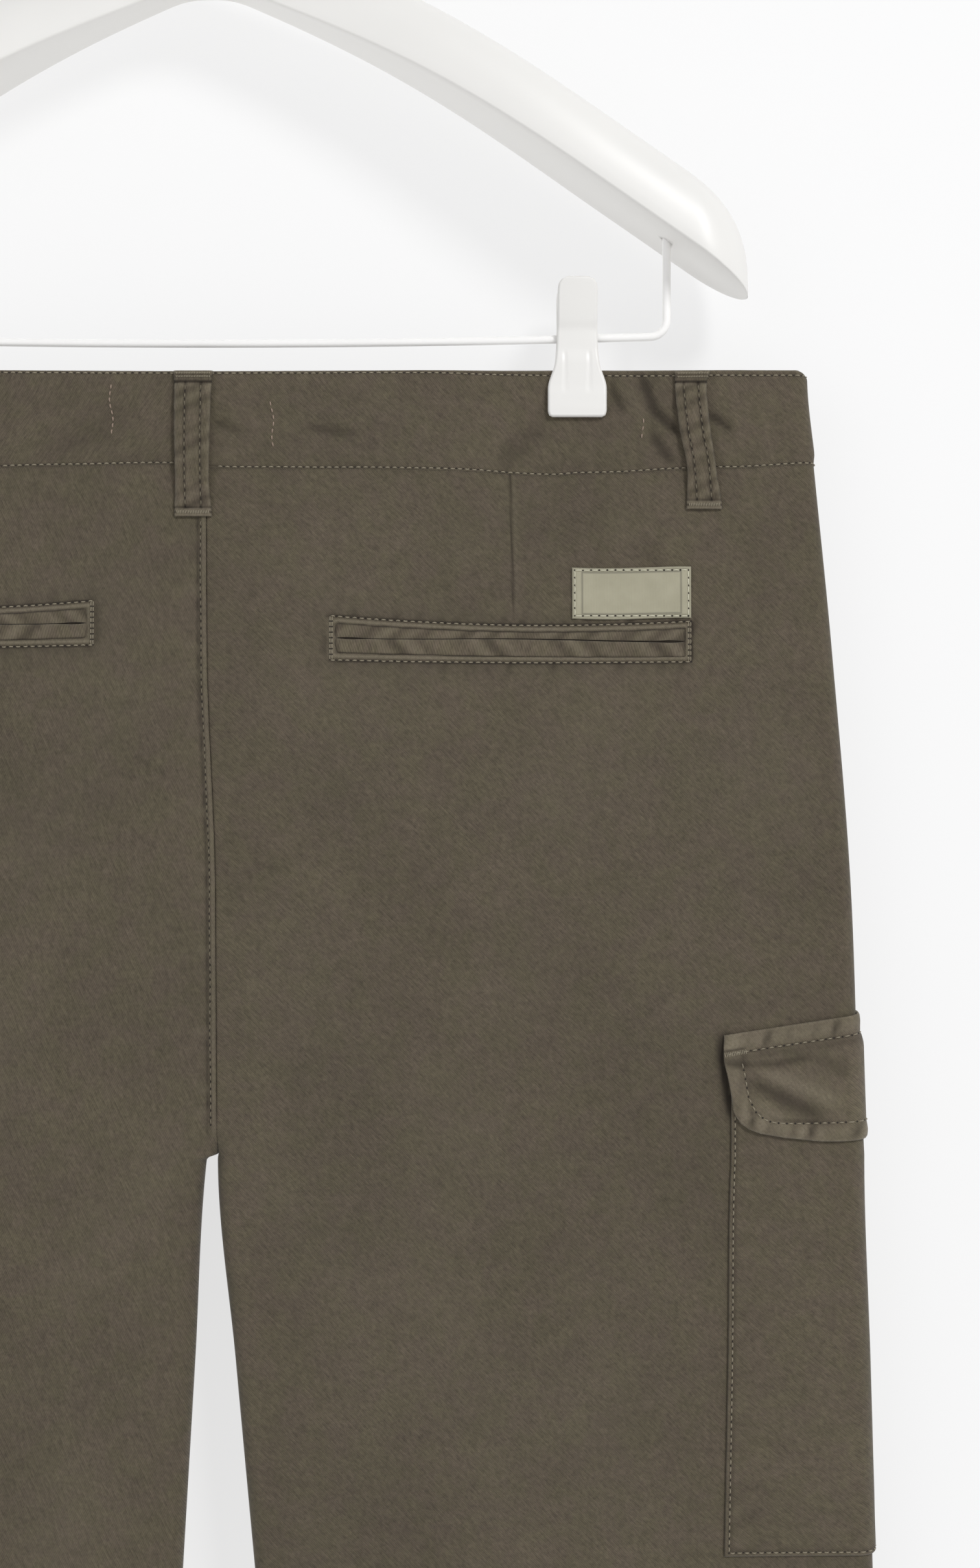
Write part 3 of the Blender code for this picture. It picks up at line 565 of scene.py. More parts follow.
def threadMaterial(name, colour):
    material, tree, shader = newMaterial(name, {"Roughness": 0.75, "Specular IOR Level": 0.3})
    place = addNode(tree, "ShaderNodeTexCoord").outputs["Object"]
    tone = remap(tree, noise(tree, place, 1400.0, 2.0), low=0.8, high=1.2)
    tree.links.new(scaled(tree, colour[:3], tone), shader.inputs["Base Color"])
    return material


def labelMaterial():
    # a sage cotton patch, fine plain weave, slightly soiled
    material, tree, shader = newMaterial("sagePatch", {"Roughness": 0.85, "Specular IOR Level": 0.3})
    cloth, shade = attribute(tree, "cloth"), attribute(tree, "shade")
    weave = grouped(tree, "twill", {"Slant": 0.0, "Pitch": 0.42}, {"Cloth": cloth})
    base = mixColour(tree, noise(tree, cloth, 0.12, 5.0), (0.285, 0.268, 0.192, 1), (0.390, 0.366, 0.272, 1))
    # the shade value darkens the printed frame line, and paints shade along the stitch row and at the edge
    tree.links.new(mixColour(tree, shade, base, (0.14, 0.13, 0.10, 1)), shader.inputs["Base Color"])
    raised(tree, shader, weave.outputs["Height"], 0.5, 0.0001)
    return material


def plasticMaterial(name, colour, roughness, grain):
    # moulded or coated surfaces with a faint orange-peel and a cloudy gloss
    material, tree, shader = newMaterial(name)
    place = addNode(tree, "ShaderNodeTexCoord").outputs["Object"]
    cloud = noise(tree, place, 22.0, 3.0)
    rough = remap(tree, cloud, low=roughness - 0.08, high=roughness + 0.1)
    darker = tuple(c * 0.95 for c in colour[:3]) + (1,)
    tree.links.new(mixColour(tree, cloud, darker, colour), shader.inputs["Base Color"])
    tree.links.new(rough, shader.inputs["Roughness"])
    raised(tree, shader, noise(tree, place, grain, 3.0), 0.15, 0.00002)
    return material


materials = {
    "twillRight": twillMaterial("oliveTwillRight", 0.785),
    "twillLeft": twillMaterial("oliveTwillLeft", -0.44),
    "twillBandRight": twillMaterial("oliveBandRight", 0.72),
    "twillBandLeft": twillMaterial("oliveBandLeft", -0.5),
    "twillPocketRight": twillMaterial("olivePocketRight", 0.80, 1.03),
    "twillPocketLeft": twillMaterial("olivePocketLeft", 0.80, 1.03),
    "twillFlapRight": twillMaterial("oliveFlapRight", 0.72, 1.16),
    "twillFlapLeft": twillMaterial("oliveFlapLeft", 0.72, 1.16),
    "twillTrim": twillMaterial("oliveTwillTrim", 0.2, 1.12),
    "thread": threadMaterial("oliveThread", (0.240, 0.209, 0.152, 1)),
    # the same thread darkened: painted shade where its stitches sink into the loops' furrows and the centre
    # seam
    "shadedThread": threadMaterial("shadedThread", (0.140, 0.120, 0.084, 1)),
    "paleThread": threadMaterial("sageThread", (0.52, 0.50, 0.385, 1)),
    "tackThread": threadMaterial("tackThread", (0.27, 0.205, 0.160, 1)),
    # near-black discs of painted shade at the needle holes
    "holeShade": threadMaterial("needleHoleShade", (0.018, 0.014, 0.010, 1)),
    "label": labelMaterial(),
    "plastic": plasticMaterial("whitePlastic", (0.775, 0.763, 0.738, 1), 0.38, 900.0),
    "wire": plasticMaterial("whiteWire", (0.900, 0.890, 0.875, 1), 0.30, 500.0),
    "button": plasticMaterial("hornButton", (0.060, 0.047, 0.034, 1), 0.35, 260.0),
}
print("materials ready")


# The four panels

panels = {
    "backStep": 2.8,
    "frontStep": 3.7,
    "flatWidth": 228.0,
    "thickness": 1.1,
    "seamStitch": 2.2,  # the felled centre seam is stitched this far to the left
    "seamStrip": 2.7,
    "seamEnd": 282.0,
    "dartTop": (115.9, 36.9),
    "dartEnd": (117.7, 95.1),
    "dartFade": 84.0,
    "hemStitch": 518.0,
    "flyWidth": 38.0,
    "flyTurn": 145.0,
}

backPocket = {
    right: {"inner": 47.1, "outer": 185.7, "lift": 0.0},
    left: {"inner": 42.7, "outer": 181.3, "lift": -5.7},
    "topStart": 93.4,
    "topFall": 1.9,
    "topSag": 2.5,
    "foot": 110.3,
    "footFall": 0.5,
    "footSag": 0.7,
    "slit": 101.8,
    "slitFall": 1.1,
    "frame": 2.65,
    "footFrame": (2.9, 1.8),
    "endFrame": 2.4,
    "corner": 1.6,
    "welt": 0.7,
}

frontMouth = {"topAcross": 168.0, "end": 196.0, "short": 4.0, "gap": 0.6, "sunk": 0.5, "stitches": (1.6, 7.0)}


def pocketShare(side, across):
    # how far along the back pocket a place lies, from its inner end to its outer one
    pocket = backPocket[side]
    return np.clip((across - pocket["inner"]) / (pocket["outer"] - pocket["inner"]), 0, 1)


def pocketTop(side, across):
    # the upper stitched edge of the back pocket: it sags between its ends
    s = pocketShare(side, across)
    level = backPocket["topStart"] + backPocket[side]["lift"]
    return level + backPocket["topFall"] * s + backPocket["topSag"] * 4 * s * (1 - s)


def pocketFoot(side, across):
    s = pocketShare(side, across)
    level = backPocket["foot"] + backPocket[side]["lift"]
    return level + backPocket["footFall"] * s + backPocket["footSag"] * 4 * s * (1 - s)


def pocketFrame(side, across):
    # how wide the stitched frame is above and below the lips
    start, end = backPocket["footFrame"]
    return backPocket["frame"], start + (end - start) * pocketShare(side, across)


def pocketSlit(side, across):
    # the uneven line where the two lips meet
    s = pocketShare(side, across)
    return backPocket["slit"] + backPocket[side]["lift"] + backPocket["slitFall"] * s + 0.3 * np.sin(9 * s)


def mouthAcross(side, drop):
    start, end = garment["bandHeight"], frontMouth["end"]
    foot = sideAcross(side, end) - bodyAt("edge", end) - frontMouth["short"]
    return frontMouth["topAcross"] + (foot - frontMouth["topAcross"]) * (drop - start) / (end - start)


# Where the cargo flap's back edge lies round the cloth: it leans in on the way down.
flapBack = {
    "drop": [246, 254, 262, 270, 279, 286, 294],
    "turn": [-54.9, -55.2, -55.7, -54.5, -53.2, -52.6, -52.6],
}


def flapBackTurn(drop):
    return smoothCurve(flapBack["drop"], flapBack["turn"], drop)


def centreSeam(side, behind, fromInner, drop):
    # the back's felled seam lies over to the left; the front's left half laps over the right one
    above = 1 - ease((drop - panels["seamEnd"]) / 16)  # it ends in the crotch
    # shade here is painted shade: in the stitch row, along the seam and in the valley beside the strip
    wear = np.zeros(drop.shape)
    if behind and side == left:
        row, strip = fromInner - panels["seamStitch"], fromInner - panels["seamStrip"]
        pucker, valley = wave(drop + 0.25 * fromInner, 10.5, 0.7), strip - 0.9
        height = 0.5 * (1 - ease(strip / 0.8)) - 0.2 * bump(fromInner, 0.3) - 0.28 * bump(row, 0.4)
        height += 0.3 * pucker * np.exp(-np.abs(strip) / 4.5) - 0.25 * (1 + 0.6 * pucker) * bump(valley, 0.9)
        wear = 0.45 * bump(fromInner - 1.0, 0.8) + 0.25 * np.clip(pucker, 0, 1) * bump(fromInner - 5.5, 3)
        shade = 0.4 * bump(row, 0.35) + 0.15 * bump(fromInner, 0.2)
        shade += (0.5 - 0.35 * pucker) * bump(valley + 0.3, 0.7)
    elif behind:
        height = 0.1 * wave(drop, 12, 2.2) * np.exp(-fromInner / 5) - 0.1 * bump(fromInner, 0.5)
        shade = 0.4 * bump(fromInner, 0.4)
    else:
        overlap = 1 if side == left else -1
        height = overlap * 0.4 * (1 - ease((fromInner - 2) / 4)) - 0.4 * bump(fromInner, 0.6)
        shade = 0.5 * bump(fromInner, 0.4)
    inseam = (1 - above) * 0.14 * wave(drop, 13, 0.4) * np.exp(-fromInner / 8)
    return above * height + inseam, above * wear, above * shade


def dart(across, drop):
    (topX, topDrop), (endX, endDrop) = panels["dartTop"], panels["dartEnd"]
    off = across - topX - (drop - topDrop) * (endX - topX) / (endDrop - topDrop)
    taper = 1 - ease((drop - panels["dartFade"]) / 13)
    height = 0.22 * bump(off - 2.2, 1.8) + 0.12 * bump(off + 3.5, 3.2) - 0.45 * bump(off, 0.6)
    # the dart's dark line is painted shade in its fold
    return taper * height, 0.2 * taper * bump(off - 1.3, 0.9), 0.75 * taper * bump(off, 0.45)


def pocketSurround(side, across, drop):
    # the back pocket's stitched frame, sunk where its lips lie, and the puckers round it
    pocket, corner = backPocket[side], backPocket["corner"]
    fromTop, fromFoot = drop - pocketTop(side, across), pocketFoot(side, across) - drop
    inRows = np.minimum(fromTop, fromFoot)
    inEnds = np.minimum(across - pocket["inner"], pocket["outer"] - across)
    rounded = corner - np.hypot(corner - inEnds, corner - inRows)
    within = np.where((inEnds < corner) & (inRows < corner), rounded, np.minimum(inEnds, inRows))
    frame = np.where(fromTop < fromFoot, *pocketFrame(side, across))
    sunk = within - np.where(inEnds < inRows, backPocket["endFrame"], frame)
    outside, pucker = within < 0, wave(across + 0.3 * drop, 8.2, 2.6)
    height = 0.36 * bump(within - 1.45, 0.75) - 0.32 * bump(within, 0.5) - 0.9 * ease((sunk + 0.3) / 0.7)
    height += 0.42 * pucker * np.exp(-np.abs(within) / 5) * outside
    wear = 1.15 * bump(within - 1.5, 0.55) + 0.12 * np.exp(-np.abs(within + 2) / 3) * outside
    # painted shade outside the stitches, over the sunk part under the lips and in the puckers' troughs
    shade = 0.9 * bump(within + 0.2, 0.5) + 0.95 * ease((sunk + 0.2) / 0.3)
    shade += (0.2 + 0.5 * np.clip(-pucker, 0, 1)) * np.exp(-np.abs(within + 1.5) / 2.5) * outside
    return height, wear, shade


def flapShadow(turn, drop):
    # the cloth beside the lifted edge of the cargo flap is in its shadow
    off = flapBackTurn(drop) - turn
    beyond = (off > -1) * (1 - ease(off / 4.4))
    return 0, 0, 1.2 * beyond * ease((drop - 249) / 9) * (1 - ease((drop - 283) / 5))


def mouthAndFly(side, across, drop):
    # the slant pocket's turned and stitched edge, and the fly's row on the left
    mouth = mouthAcross(side, drop) - across
    near = (drop < frontMouth["end"] + 2) * 1.0
    height = 0.3 * (1 - ease((mouth - 7) / 1.5)) - 0.4 * bump(mouth, 0.6)
    height += 0.15 * wave(drop, 9.5, 1.2) * np.exp(-np.abs(mouth - 7) / 4)
    rows = sum(bump(mouth - row, 0.5) for row in frontMouth["stitches"])
    # painted shade in the stitched grooves of the mouth and, on the left, of the fly
    height, wear, shade = near * (height - 0.22 * rows), near * 0.6 * bump(mouth, 0.9), near * 0.35 * rows
    if side == left:
        fly = panels["flyWidth"] - np.hypot(across, np.maximum(drop - panels["flyTurn"], 0))
        height += 0.25 * ease((fly + 0.5) / 1.0) - 0.25 * bump(fly, 0.5)
        height += 0.12 * wave(drop, 10, 3.0) * np.exp(-np.abs(fly) / 4)
        shade += 0.4 * bump(fly, 0.5)
    return height, wear, shade


def turnedHem(across, drop):
    # the hem's row of stitches, the roping that it pulls, and the folded edge
    hem, foot = drop - panels["hemStitch"], garment["hemDrop"] - drop
    roping = wave(across + 0.8 * drop, 9.5, 1.9)
    height = 0.35 * ease((hem + 0.6) / 1.2) - 0.25 * bump(hem, 0.5) - 0.45 * bump(foot, 0.6)
    height += 0.2 * roping * ease((hem + 9) / 9)
    wear = 0.5 * bump(foot, 0.9) + 0.14 * np.clip(roping, 0, 1) * ease((hem + 2) / 3)
    # painted shade in the stitched groove and in the roping's troughs
    return height, wear, 0.4 * bump(hem, 0.5) + 0.16 * np.clip(-roping, 0, 1) * ease((hem + 4) / 4)


def panelRelief(side, behind, turn, drop):
    # seams, stitched grooves and puckers of one panel: their height, wear and painted shade
    across = side * basePoint(side, turn, drop)[..., 0]
    fromInner, fromSide = across - innerAcross(side, drop), np.abs(turn)
    under = drop - garment["bandHeight"] - garment["seamGap"]
    gathered = 0.17 * wave(across, 8.7, 1.1 + side) * np.exp(-np.abs(under) / 8) * ease(under / 2)
    # painted shade just under the band's edge
    parts = [(gathered, 0, 0.12 * bump(under, 0.6)), centreSeam(side, behind, fromInner, drop)]
    if behind:
        parts += [dart(across, drop), pocketSurround(side, across, drop), flapShadow(turn, drop)]
    else:
        parts.append(mouthAndFly(side, across, drop))
    parts.append(turnedHem(across, drop))
    height, wear, shade = (sum(values) for values in zip(*parts))
    nearFold = ease((fromSide - 1) / 6)
    nearInseam = np.where(drop > 284, ease((foldLength(drop) + flatLength(side, drop) - fromSide + 6) / 6), 1)
    # with painted shade along the side fold
    return height * nearFold * nearInseam, wear, shade + 0.35 * bump(fromSide, 0.6)


def panelColumns(side, drop, stop, step):
    # places round the cloth at one drop, from the inner edge to the side fold or to a stop
    edge, arc, flat = bodyAt("edge", drop), foldLength(drop), flatLength(side, drop)
    inner = arc + flat + (math.pi / 2 - np.radians([0, 8, 15, 22, 28, 34, 40, 46, 52, 58, 65, 73, 82])) * edge
    wide = panels["flatWidth"]
    # finer at both ends, the dart and the back pocket's outer end
    fine = [(0, 0.02, 1.0 / wide), (1, 0.02, 1.6 / wide),
            (0.491, 0.012, 0.7 / wide), (0.785, 0.012, 0.8 / wide)]
    shares = graded(0, 1, step / wide, fine)
    outer = edge * np.radians([84, 76, 68, 60, 52, 44, 36, 28, 20, 12, 6, 0])
    outer[-1] = garment["foldEnd"]
    if stop is None:
        return np.concatenate([inner, arc + flat * (1 - shares), outer])
    margin = 4.0
    end = arc + sideAcross(side, drop) - edge - stop
    flatPart = end + margin + (arc + flat - end - margin) * (1 - shares)
    return np.concatenate([inner, flatPart, end + margin * (1 - np.arange(1, len(outer) + 1) / len(outer))])


def panelDrops(side, behind, step):
    fine = [(garment["bandHeight"] + 0.5, 2, 0.7), (296, 7, 1.2), (panels["hemStitch"], 1.5, 0.8),
            (garment["hemDrop"], 2, 0.5)]
    if behind:
        lift = backPocket[side]["lift"]
        fine += [(97 + lift, 4, 0.6), (109.6 + lift, 2.4, 0.6)]  # the pocket's two stitched edges
    return graded(garment["bandHeight"] + garment["closed"], garment["hemDrop"], step, fine)


def grain(side, behind, turn, drop):
    # where a point lies on the cut cloth: across and down the panel
    place = basePoint(side, turn, drop)
    across = side * place[..., 0]
    arc, outer = foldLength(drop), sideAcross(side, drop) - bodyAt("edge", drop)
    across = np.where(np.abs(turn) < arc, outer + arc - np.abs(turn), across)
    return cutFrom(across if behind else -across, drop, 40 * side + (300 if behind else 0))


def cutFrom(across, down, offset):
    # where a point lies on a small piece of cloth; each has an offset of its own, so that their dyes differ
    return np.stack([across, down, np.full(across.shape, float(offset))], axis=-1)


def clothTones(side, turn, drop, wear, shade):
    # lighter on the folds' crests, and painted shade in their troughs, most of all in the narrow ones
    broad, sharp = broadFolds(side, turn, drop), broadFolds(side, turn, drop, 5.0)
    wear = wear + 0.12 * np.clip(broad, 0, 1)
    return wear, shade + 0.1 * np.clip(-broad, 0, 1) + 0.45 * np.clip(-sharp, 0, 1.4)


surfaces = {}


def clothPiece(name, points, flip, finish, nodes, thickness, cloth, wear, shade):
    piece = clothSheet(name, points, flip, cloth, wear, shade)
    surfaces[name] = BVHTree.FromObject(piece, bpy.context.evaluated_depsgraph_get())
    solid = piece.modifiers.new("thickness", "SOLIDIFY")
    solid.thickness, solid.offset, solid.use_even_offset = thickness * mm, -1, False
    dressed(piece, materials[finish], nodes)
    return piece


def makePanel(side, behind):
    word, face = words[side], ("back" if behind else "front")
    step = panels["backStep"] if behind else panels["frontStep"]
    drops = panelDrops(side, behind, step)
    if not behind:
        foot = frontMouth["end"] - garment["seamGap"]
        ends = [foot, foot + garment["seamGap"]]
        drops = np.sort(np.concatenate([drops[np.abs(drops - foot) > 0.8], ends]))
    rows = []
    for drop in drops:
        cutAway = not behind and drop < frontMouth["end"] - 0.2
        stop = mouthAcross(side, drop) if cutAway else None
        rows.append(panelColumns(side, drop, stop, step))
    turns = np.array(rows) * (-1 if behind else 1)
    down = np.broadcast_to(drops[:, None], turns.shape)
    relief, wear, shade = panelRelief(side, behind, turns, down)
    wear, shade = clothTones(side, turns, down, wear, shade)
    places = clothPoint(side, turns, slipped(side, turns, down), relief)
    clothPiece(face + word, places, (side == right) == behind,
               "twill" + word, [face + "_" + word.lower()], panels["thickness"],
               grain(side, behind, turns, down), wear, shade)


def makeHip(side):
    word = words[side]
    drops = graded(garment["bandHeight"] + garment["closed"], frontMouth["end"] - 0.6, 3.6, [(37, 2, 1.0)])
    rows = []
    for drop in drops:
        start = turnOf(side, mouthAcross(side, drop) + frontMouth["gap"], drop)
        arc = foldLength(drop)
        flat = start + (arc - start) * np.linspace(0, 1, 22)
        outer = bodyAt("edge", drop) * np.radians([76, 64, 52, 40, 28, 16, 8, 0])
        outer[-1] = garment["foldEnd"]
        rows.append(np.concatenate([flat, outer]))
    turns = np.array(rows)
    down = np.broadcast_to(drops[:, None], turns.shape)
    fromMouth = side * basePoint(side, turns, down)[..., 0] - mouthAcross(side, down)
    # painted shade along the pocket mouth, under the front panel's edge
    shade = 0.7 * np.exp(-fromMouth / 1.2)
    wear, shade = clothTones(side, turns, down, 0, shade)
    places = clothPoint(side, turns, slipped(side, turns, down), -frontMouth["sunk"])
    clothPiece("frontHip" + word, places, side == left,
               "twill" + word, ["front_hip_" + word.lower()], panels["thickness"],
               grain(side, False, turns, down), wear, shade)


for side in (right, left):
    makePanel(side, True)
    makePanel(side, False)
    makeHip(side)
print("panels ready")


# Waistband, loops, welts and label

band = {
    "thickness": 1.9,
    "topRow": (0.85, 2.0),
    "footRow": 35.8,
    "corner": 2.5,
    "creased": (178.0, 26.0),  # the narrow creases' middle and reach, where the columns stand closer
}


def bandRows(side, turn):
    # the drops of the band's two rows of stitches: the upper one moves in from the edge to the right
    x = basePoint(side, turn, 1.0)[..., 0]
    near, far = band["topRow"]
    return near + (far - near) * np.where(turn < 0, ease((x - 60) / 90), 1), np.full(x.shape, band["footRow"])


# Each loop's middle and width in mm at five drops, and its two rows of stitches off the middle.
loops = {
    "beltLoopBackCentre": {
        "behind": True, "node": "belt_loop_back_centre", "rows": (-2.9, 3.1), "drop": [-0.4, 5, 22, 42, 55.5],
        "middle": [-5.0, -5.1, -5.2, -5.2, -4.9], "width": [15.0, 14.3, 13.7, 13.0, 14.3]},
    "beltLoopBackRight": {
        "behind": True, "node": "belt_loop_back_right", "rows": (-2.75, 2.75),
        "drop": [-0.8, 3.6, 22, 36, 52.3],
        "middle": [186.2, 185.6, 187.2, 189.6, 190.7], "width": [13.4, 12.2, 11.7, 11.0, 13.6]},
    "beltLoopBackLeft": {
        "behind": True, "node": "belt_loop_back_left", "rows": (-2.8, 2.8), "drop": [-0.8, 4, 24, 40, 53.5],
        "middle": [-187.0, -187.2, -188.6, -189.4, -190.0], "width": [14.0, 13.0, 12.2, 12.0, 13.6]},
    "beltLoopFrontRight": {
        "behind": False, "node": "belt_loop_front_right", "rows": (-2.9, 2.9), "drop": [0.5, 5, 22, 40, 54.0],
        "middle": [96.0, 96.1, 96.9, 97.3, 97.5], "width": [14.2, 13.3, 12.8, 12.6, 13.8]},
    "beltLoopFrontLeft": {
        "behind": False, "node": "belt_loop_front_left", "rows": (-2.9, 2.9), "drop": [0.5, 5, 24, 40, 54.0],
        "middle": [-96.5, -96.4, -97.1, -97.2, -97.0], "width": [14.0, 13.2, 12.9, 12.7, 13.9]},
}
loopShape = {
    "thickness": 1.3,
    "cap": 4.0,
    "foot": 3.4,
    "share": [0, 0.08, 0.22, 0.42, 0.6, 0.74, 0.88, 1],
    "lift": [1.15, 1.3, 2.3, 2.8, 2.5, 1.7, 0.7, 0.4],
}


def makeBand(side):
    word = words[side]
    drops = graded(0, garment["bandHeight"], 1.5, [(0, 0.7, 0.22), (1.5, 1.0, 0.35), (36, 0.9, 0.25)])
    rows = []
    for drop in drops:
        inner, outer = innerAcross(side, drop), sideAcross(side, drop) - bodyAt("edge", drop)
        fine = [(float(inner), 1.5, 0.5), (*band["creased"], 0.95)]
        back = turnOf(side, graded(float(inner), float(outer), 1.9, fine), drop)
        arc = foldLength(drop) * np.linspace(1, 0, 9)[1:]
        half = np.concatenate([back[:-1], [foldLength(drop)], arc])
        rows.append(np.concatenate([-half, half[:-1][::-1]]))
    even = np.linspace(0, 1, min(len(row) for row in rows))
    turns = np.array([np.interp(even, np.linspace(0, 1, len(row)), row) for row in rows])
    down = np.broadcast_to(drops[:, None], turns.shape)
    proud = garment["bandProud"] * (1 - 0.85 * ease((down - 31.5) / 4.5))  # flush with the panels below
    height = proud - 0.5 * bump(down, 0.4) - 0.15 * bump(down - garment["bandHeight"], 0.3)
    wear = 0.5 * bump(down, 0.5) + 0.2 * bump(down - garment["bandHeight"], 0.4)
    # painted shade in the stitched grooves and in the puckers' troughs
    shade = np.zeros(turns.shape)
    for row, reach in zip(bandRows(side, turns), (5.0, 7.0)):
        pucker, off = wave(turns, 7.3, 1.3 + reach), np.abs(down - row)
        height = height - 0.26 * bump(off, 0.4) + 0.13 * pucker * np.exp(-off / reach)
        wear = wear + 0.12 * np.clip(pucker, 0, 1) * np.exp(-off / 3)
        shade = shade + 0.4 * bump(off, 0.4) + 0.2 * np.clip(-pucker, 0, 1) * np.exp(-off / 4)
    wear, shade = clothTones(side, turns, down, wear, shade)
    lift = height * ease(np.abs(turns) / 2) + proud * (1 - ease(np.abs(turns) / 2))
    points = clothPoint(side, turns, slipped(side, turns, down), lift)
    corner = band["corner"] * np.clip(1 - down / 3.5, 0, 1) ** 2 * bump(turns, 6)
    points[..., 0] -= side * corner
    cloth = cutFrom(turns * side, down, 500 + side)
    clothPiece("waistband" + word, points, side == right, "twillBand" + word,
               ["waistband_" + word.lower()], band["thickness"],
               cloth, wear, shade)


def makeLoop(name):
    # a folded strip, capped and tacked at both ends, that stands off the band between them
    loop = loops[name]
    top, bottom = loop["drop"][0], loop["drop"][-1]
    length = bottom - top
    shares = graded(0, 1, 1.2 / length, [(0.065, 0.02, 0.3 / length), (0, 0.01, 0.2 / length),
                                         (1, 0.05, 0.3 / length)])
    first, second = loop["rows"][0] / 13, loop["rows"][1] / 13
    sides = graded(-0.5, 0.5, 0.06, [(-0.5, 0.05, 0.018), (0.5, 0.05, 0.018), (first, 0.02, 0.025),
                                     (second, 0.02, 0.025)])
    share, u = np.meshgrid(shares, sides, indexing="ij")
    down = top + length * share
    width = smoothCurve(loop["drop"], loop["width"], down)
    aside = u * width
    x = smoothCurve(loop["drop"], loop["middle"], down) + aside
    fromEdge = (0.5 - np.abs(u)) * width
    ripple = wave(down + 0.5 * aside, 7.5, length + x[0, 0])
    height = smoothCurve(loopShape["share"], loopShape["lift"], share) + loopShape["thickness"]
    cap, foot = down - top - loopShape["cap"], bottom - down
    strip = ease(cap / 0.8) * ease((foot - loopShape["foot"] + 0.8) / 0.8)
    groove = bump(aside - loop["rows"][0], 0.5) + bump(aside - loop["rows"][1], 0.5)
    height += -0.6 * bump(fromEdge, 0.6) - strip * 0.32 * groove + 0.2 * strip * bump(fromEdge - 1.9, 1.1)
    height += 0.26 * strip * ripple
    height += 0.35 * (1 - ease(cap / 0.6)) - 0.6 * bump(cap - 0.5, 0.5) - 0.5 * bump(share * length, 0.4)
    height += 0.25 * bump(foot - 1.7, 1.0) - 0.45 * bump(foot, 0.4)
    height -= 0.4 * bump(foot - loopShape["foot"], 0.5)
    wear = 0.6 * bump(fromEdge, 0.8) + 0.75 * bump(foot - 0.5, 0.6) + 0.6 * bump(foot - 2.6, 0.5)
    wear += 0.3 * strip * np.clip(ripple, 0, 1)
    wear += 0.5 * bump(down - top - 0.4, 0.4) + 0.3 * bump(cap - 1.6, 0.8)
    # painted shade in the stitched grooves, at the fold lines of the cap and foot, along the edges and in the
    # ripples' troughs; also darker where the cap's tacks sit
    shade = 0.65 * strip * groove + 0.85 * bump(cap - 0.2, 0.5) + 0.6 * bump(foot - loopShape["foot"], 0.4)
    shade += 0.6 * bump(foot - 1.6, 0.4) + 0.5 * bump(cap + 1.7, 1.0) + 0.5 * bump(fromEdge, 0.35)
    shade += 0.45 * strip * np.clip(-ripple, 0, 1)
    cloth = cutFrom(aside, down, 60 + top + length)
    points, word = pointAtX(loop["behind"], x, down, height), words[right if x[0, 0] > 0 else left]
    clothPiece(name, points, loop["behind"], "twillTrim", [loop["node"]],
               loopShape["thickness"], cloth, wear, shade)


def makeWelt(side, upper):
    # one folded lip of the back pocket, set into its stitched frame
    word, where = words[side], ("Upper" if upper else "Lower")
    inner, outer = backPocket[side]["inner"], backPocket[side]["outer"]
    across = graded(inner + 2.0, outer - 2.0, 1.8, [(inner, 4, 0.7), (outer, 4, 0.7)])
    shares = graded(0, 1, 0.12, [(0, 0.02, 0.05), (1, 0.02, 0.05)])
    share, x = np.meshgrid(shares, across, indexing="ij")
    slit = pocketSlit(side, x)
    ends = np.minimum(x - inner, outer - x)
    gap = 0.15 + 0.6 * bump(ends - 8, 4)
    gap += 0.3 * ease((pocketShare(side, x) - 0.1) / 0.85) * ease((ends - 3) / 5)
    topFrame, footFrame = pocketFrame(side, x)
    if upper:
        start, stop = pocketTop(side, x) + topFrame - 0.1, slit - gap * 0.5
    else:
        start, stop = slit + gap * 0.5, pocketFoot(side, x) - footFrame + 0.1
    down = start + (stop - start) * share
    fold = (stop - down) if upper else (down - start)
    sewn = (down - start) if upper else (stop - down)
    ripple = wave(x + (1.2 if upper else -0.9) * down, 12.5, 1.6 if upper else 3.3)
    height = 0.1 - 0.5 * bump(fold, 0.45) - 0.3 * bump(sewn, 0.4) + 0.24 * ripple - 0.35 * bump(ends - 2, 1.0)
    height += 0.25 * bump(fold - 2.2, 1.6)
    wear = 0.4 * bump(fold, 0.5) + 0.04 + 0.45 * np.clip(ripple, 0, 1)
    # painted shade at the sewn edge, at the ends and in the ripples' troughs
    shade = 0.7 * bump(sewn, 0.35) + 0.7 * bump(ends - 2, 0.9) + 0.6 * np.clip(-ripple, 0, 1)
    cloth = cutFrom(x, 1.9 * x + down, 700)
    clothPiece("backWelt" + where + word, pointAtX(True, side * x, down, height), side == right,
               "twillTrim", [f"back_welt_{where.lower()}_{word.lower()}"], backPocket["welt"],
               cloth, wear, shade)


label = {
    "x": (139.9, 185.6),
    "drops": (74.6, 94.4),
    "thickness": 0.7,
    "stitch": 1.1,
    "frame": (3.9, 1.9),
}


def insideLabel(x, down, aside=0.0, below=0.0):
    # how far inside the patch a place lies, or inside a frame set in from its edges
    (x0, x1), (d0, d1) = label["x"], label["drops"]
    fromSides = np.minimum(x - x0 - aside, x1 - aside - x)
    return np.minimum(fromSides, np.minimum(down - d0 - below, d1 - below - down))


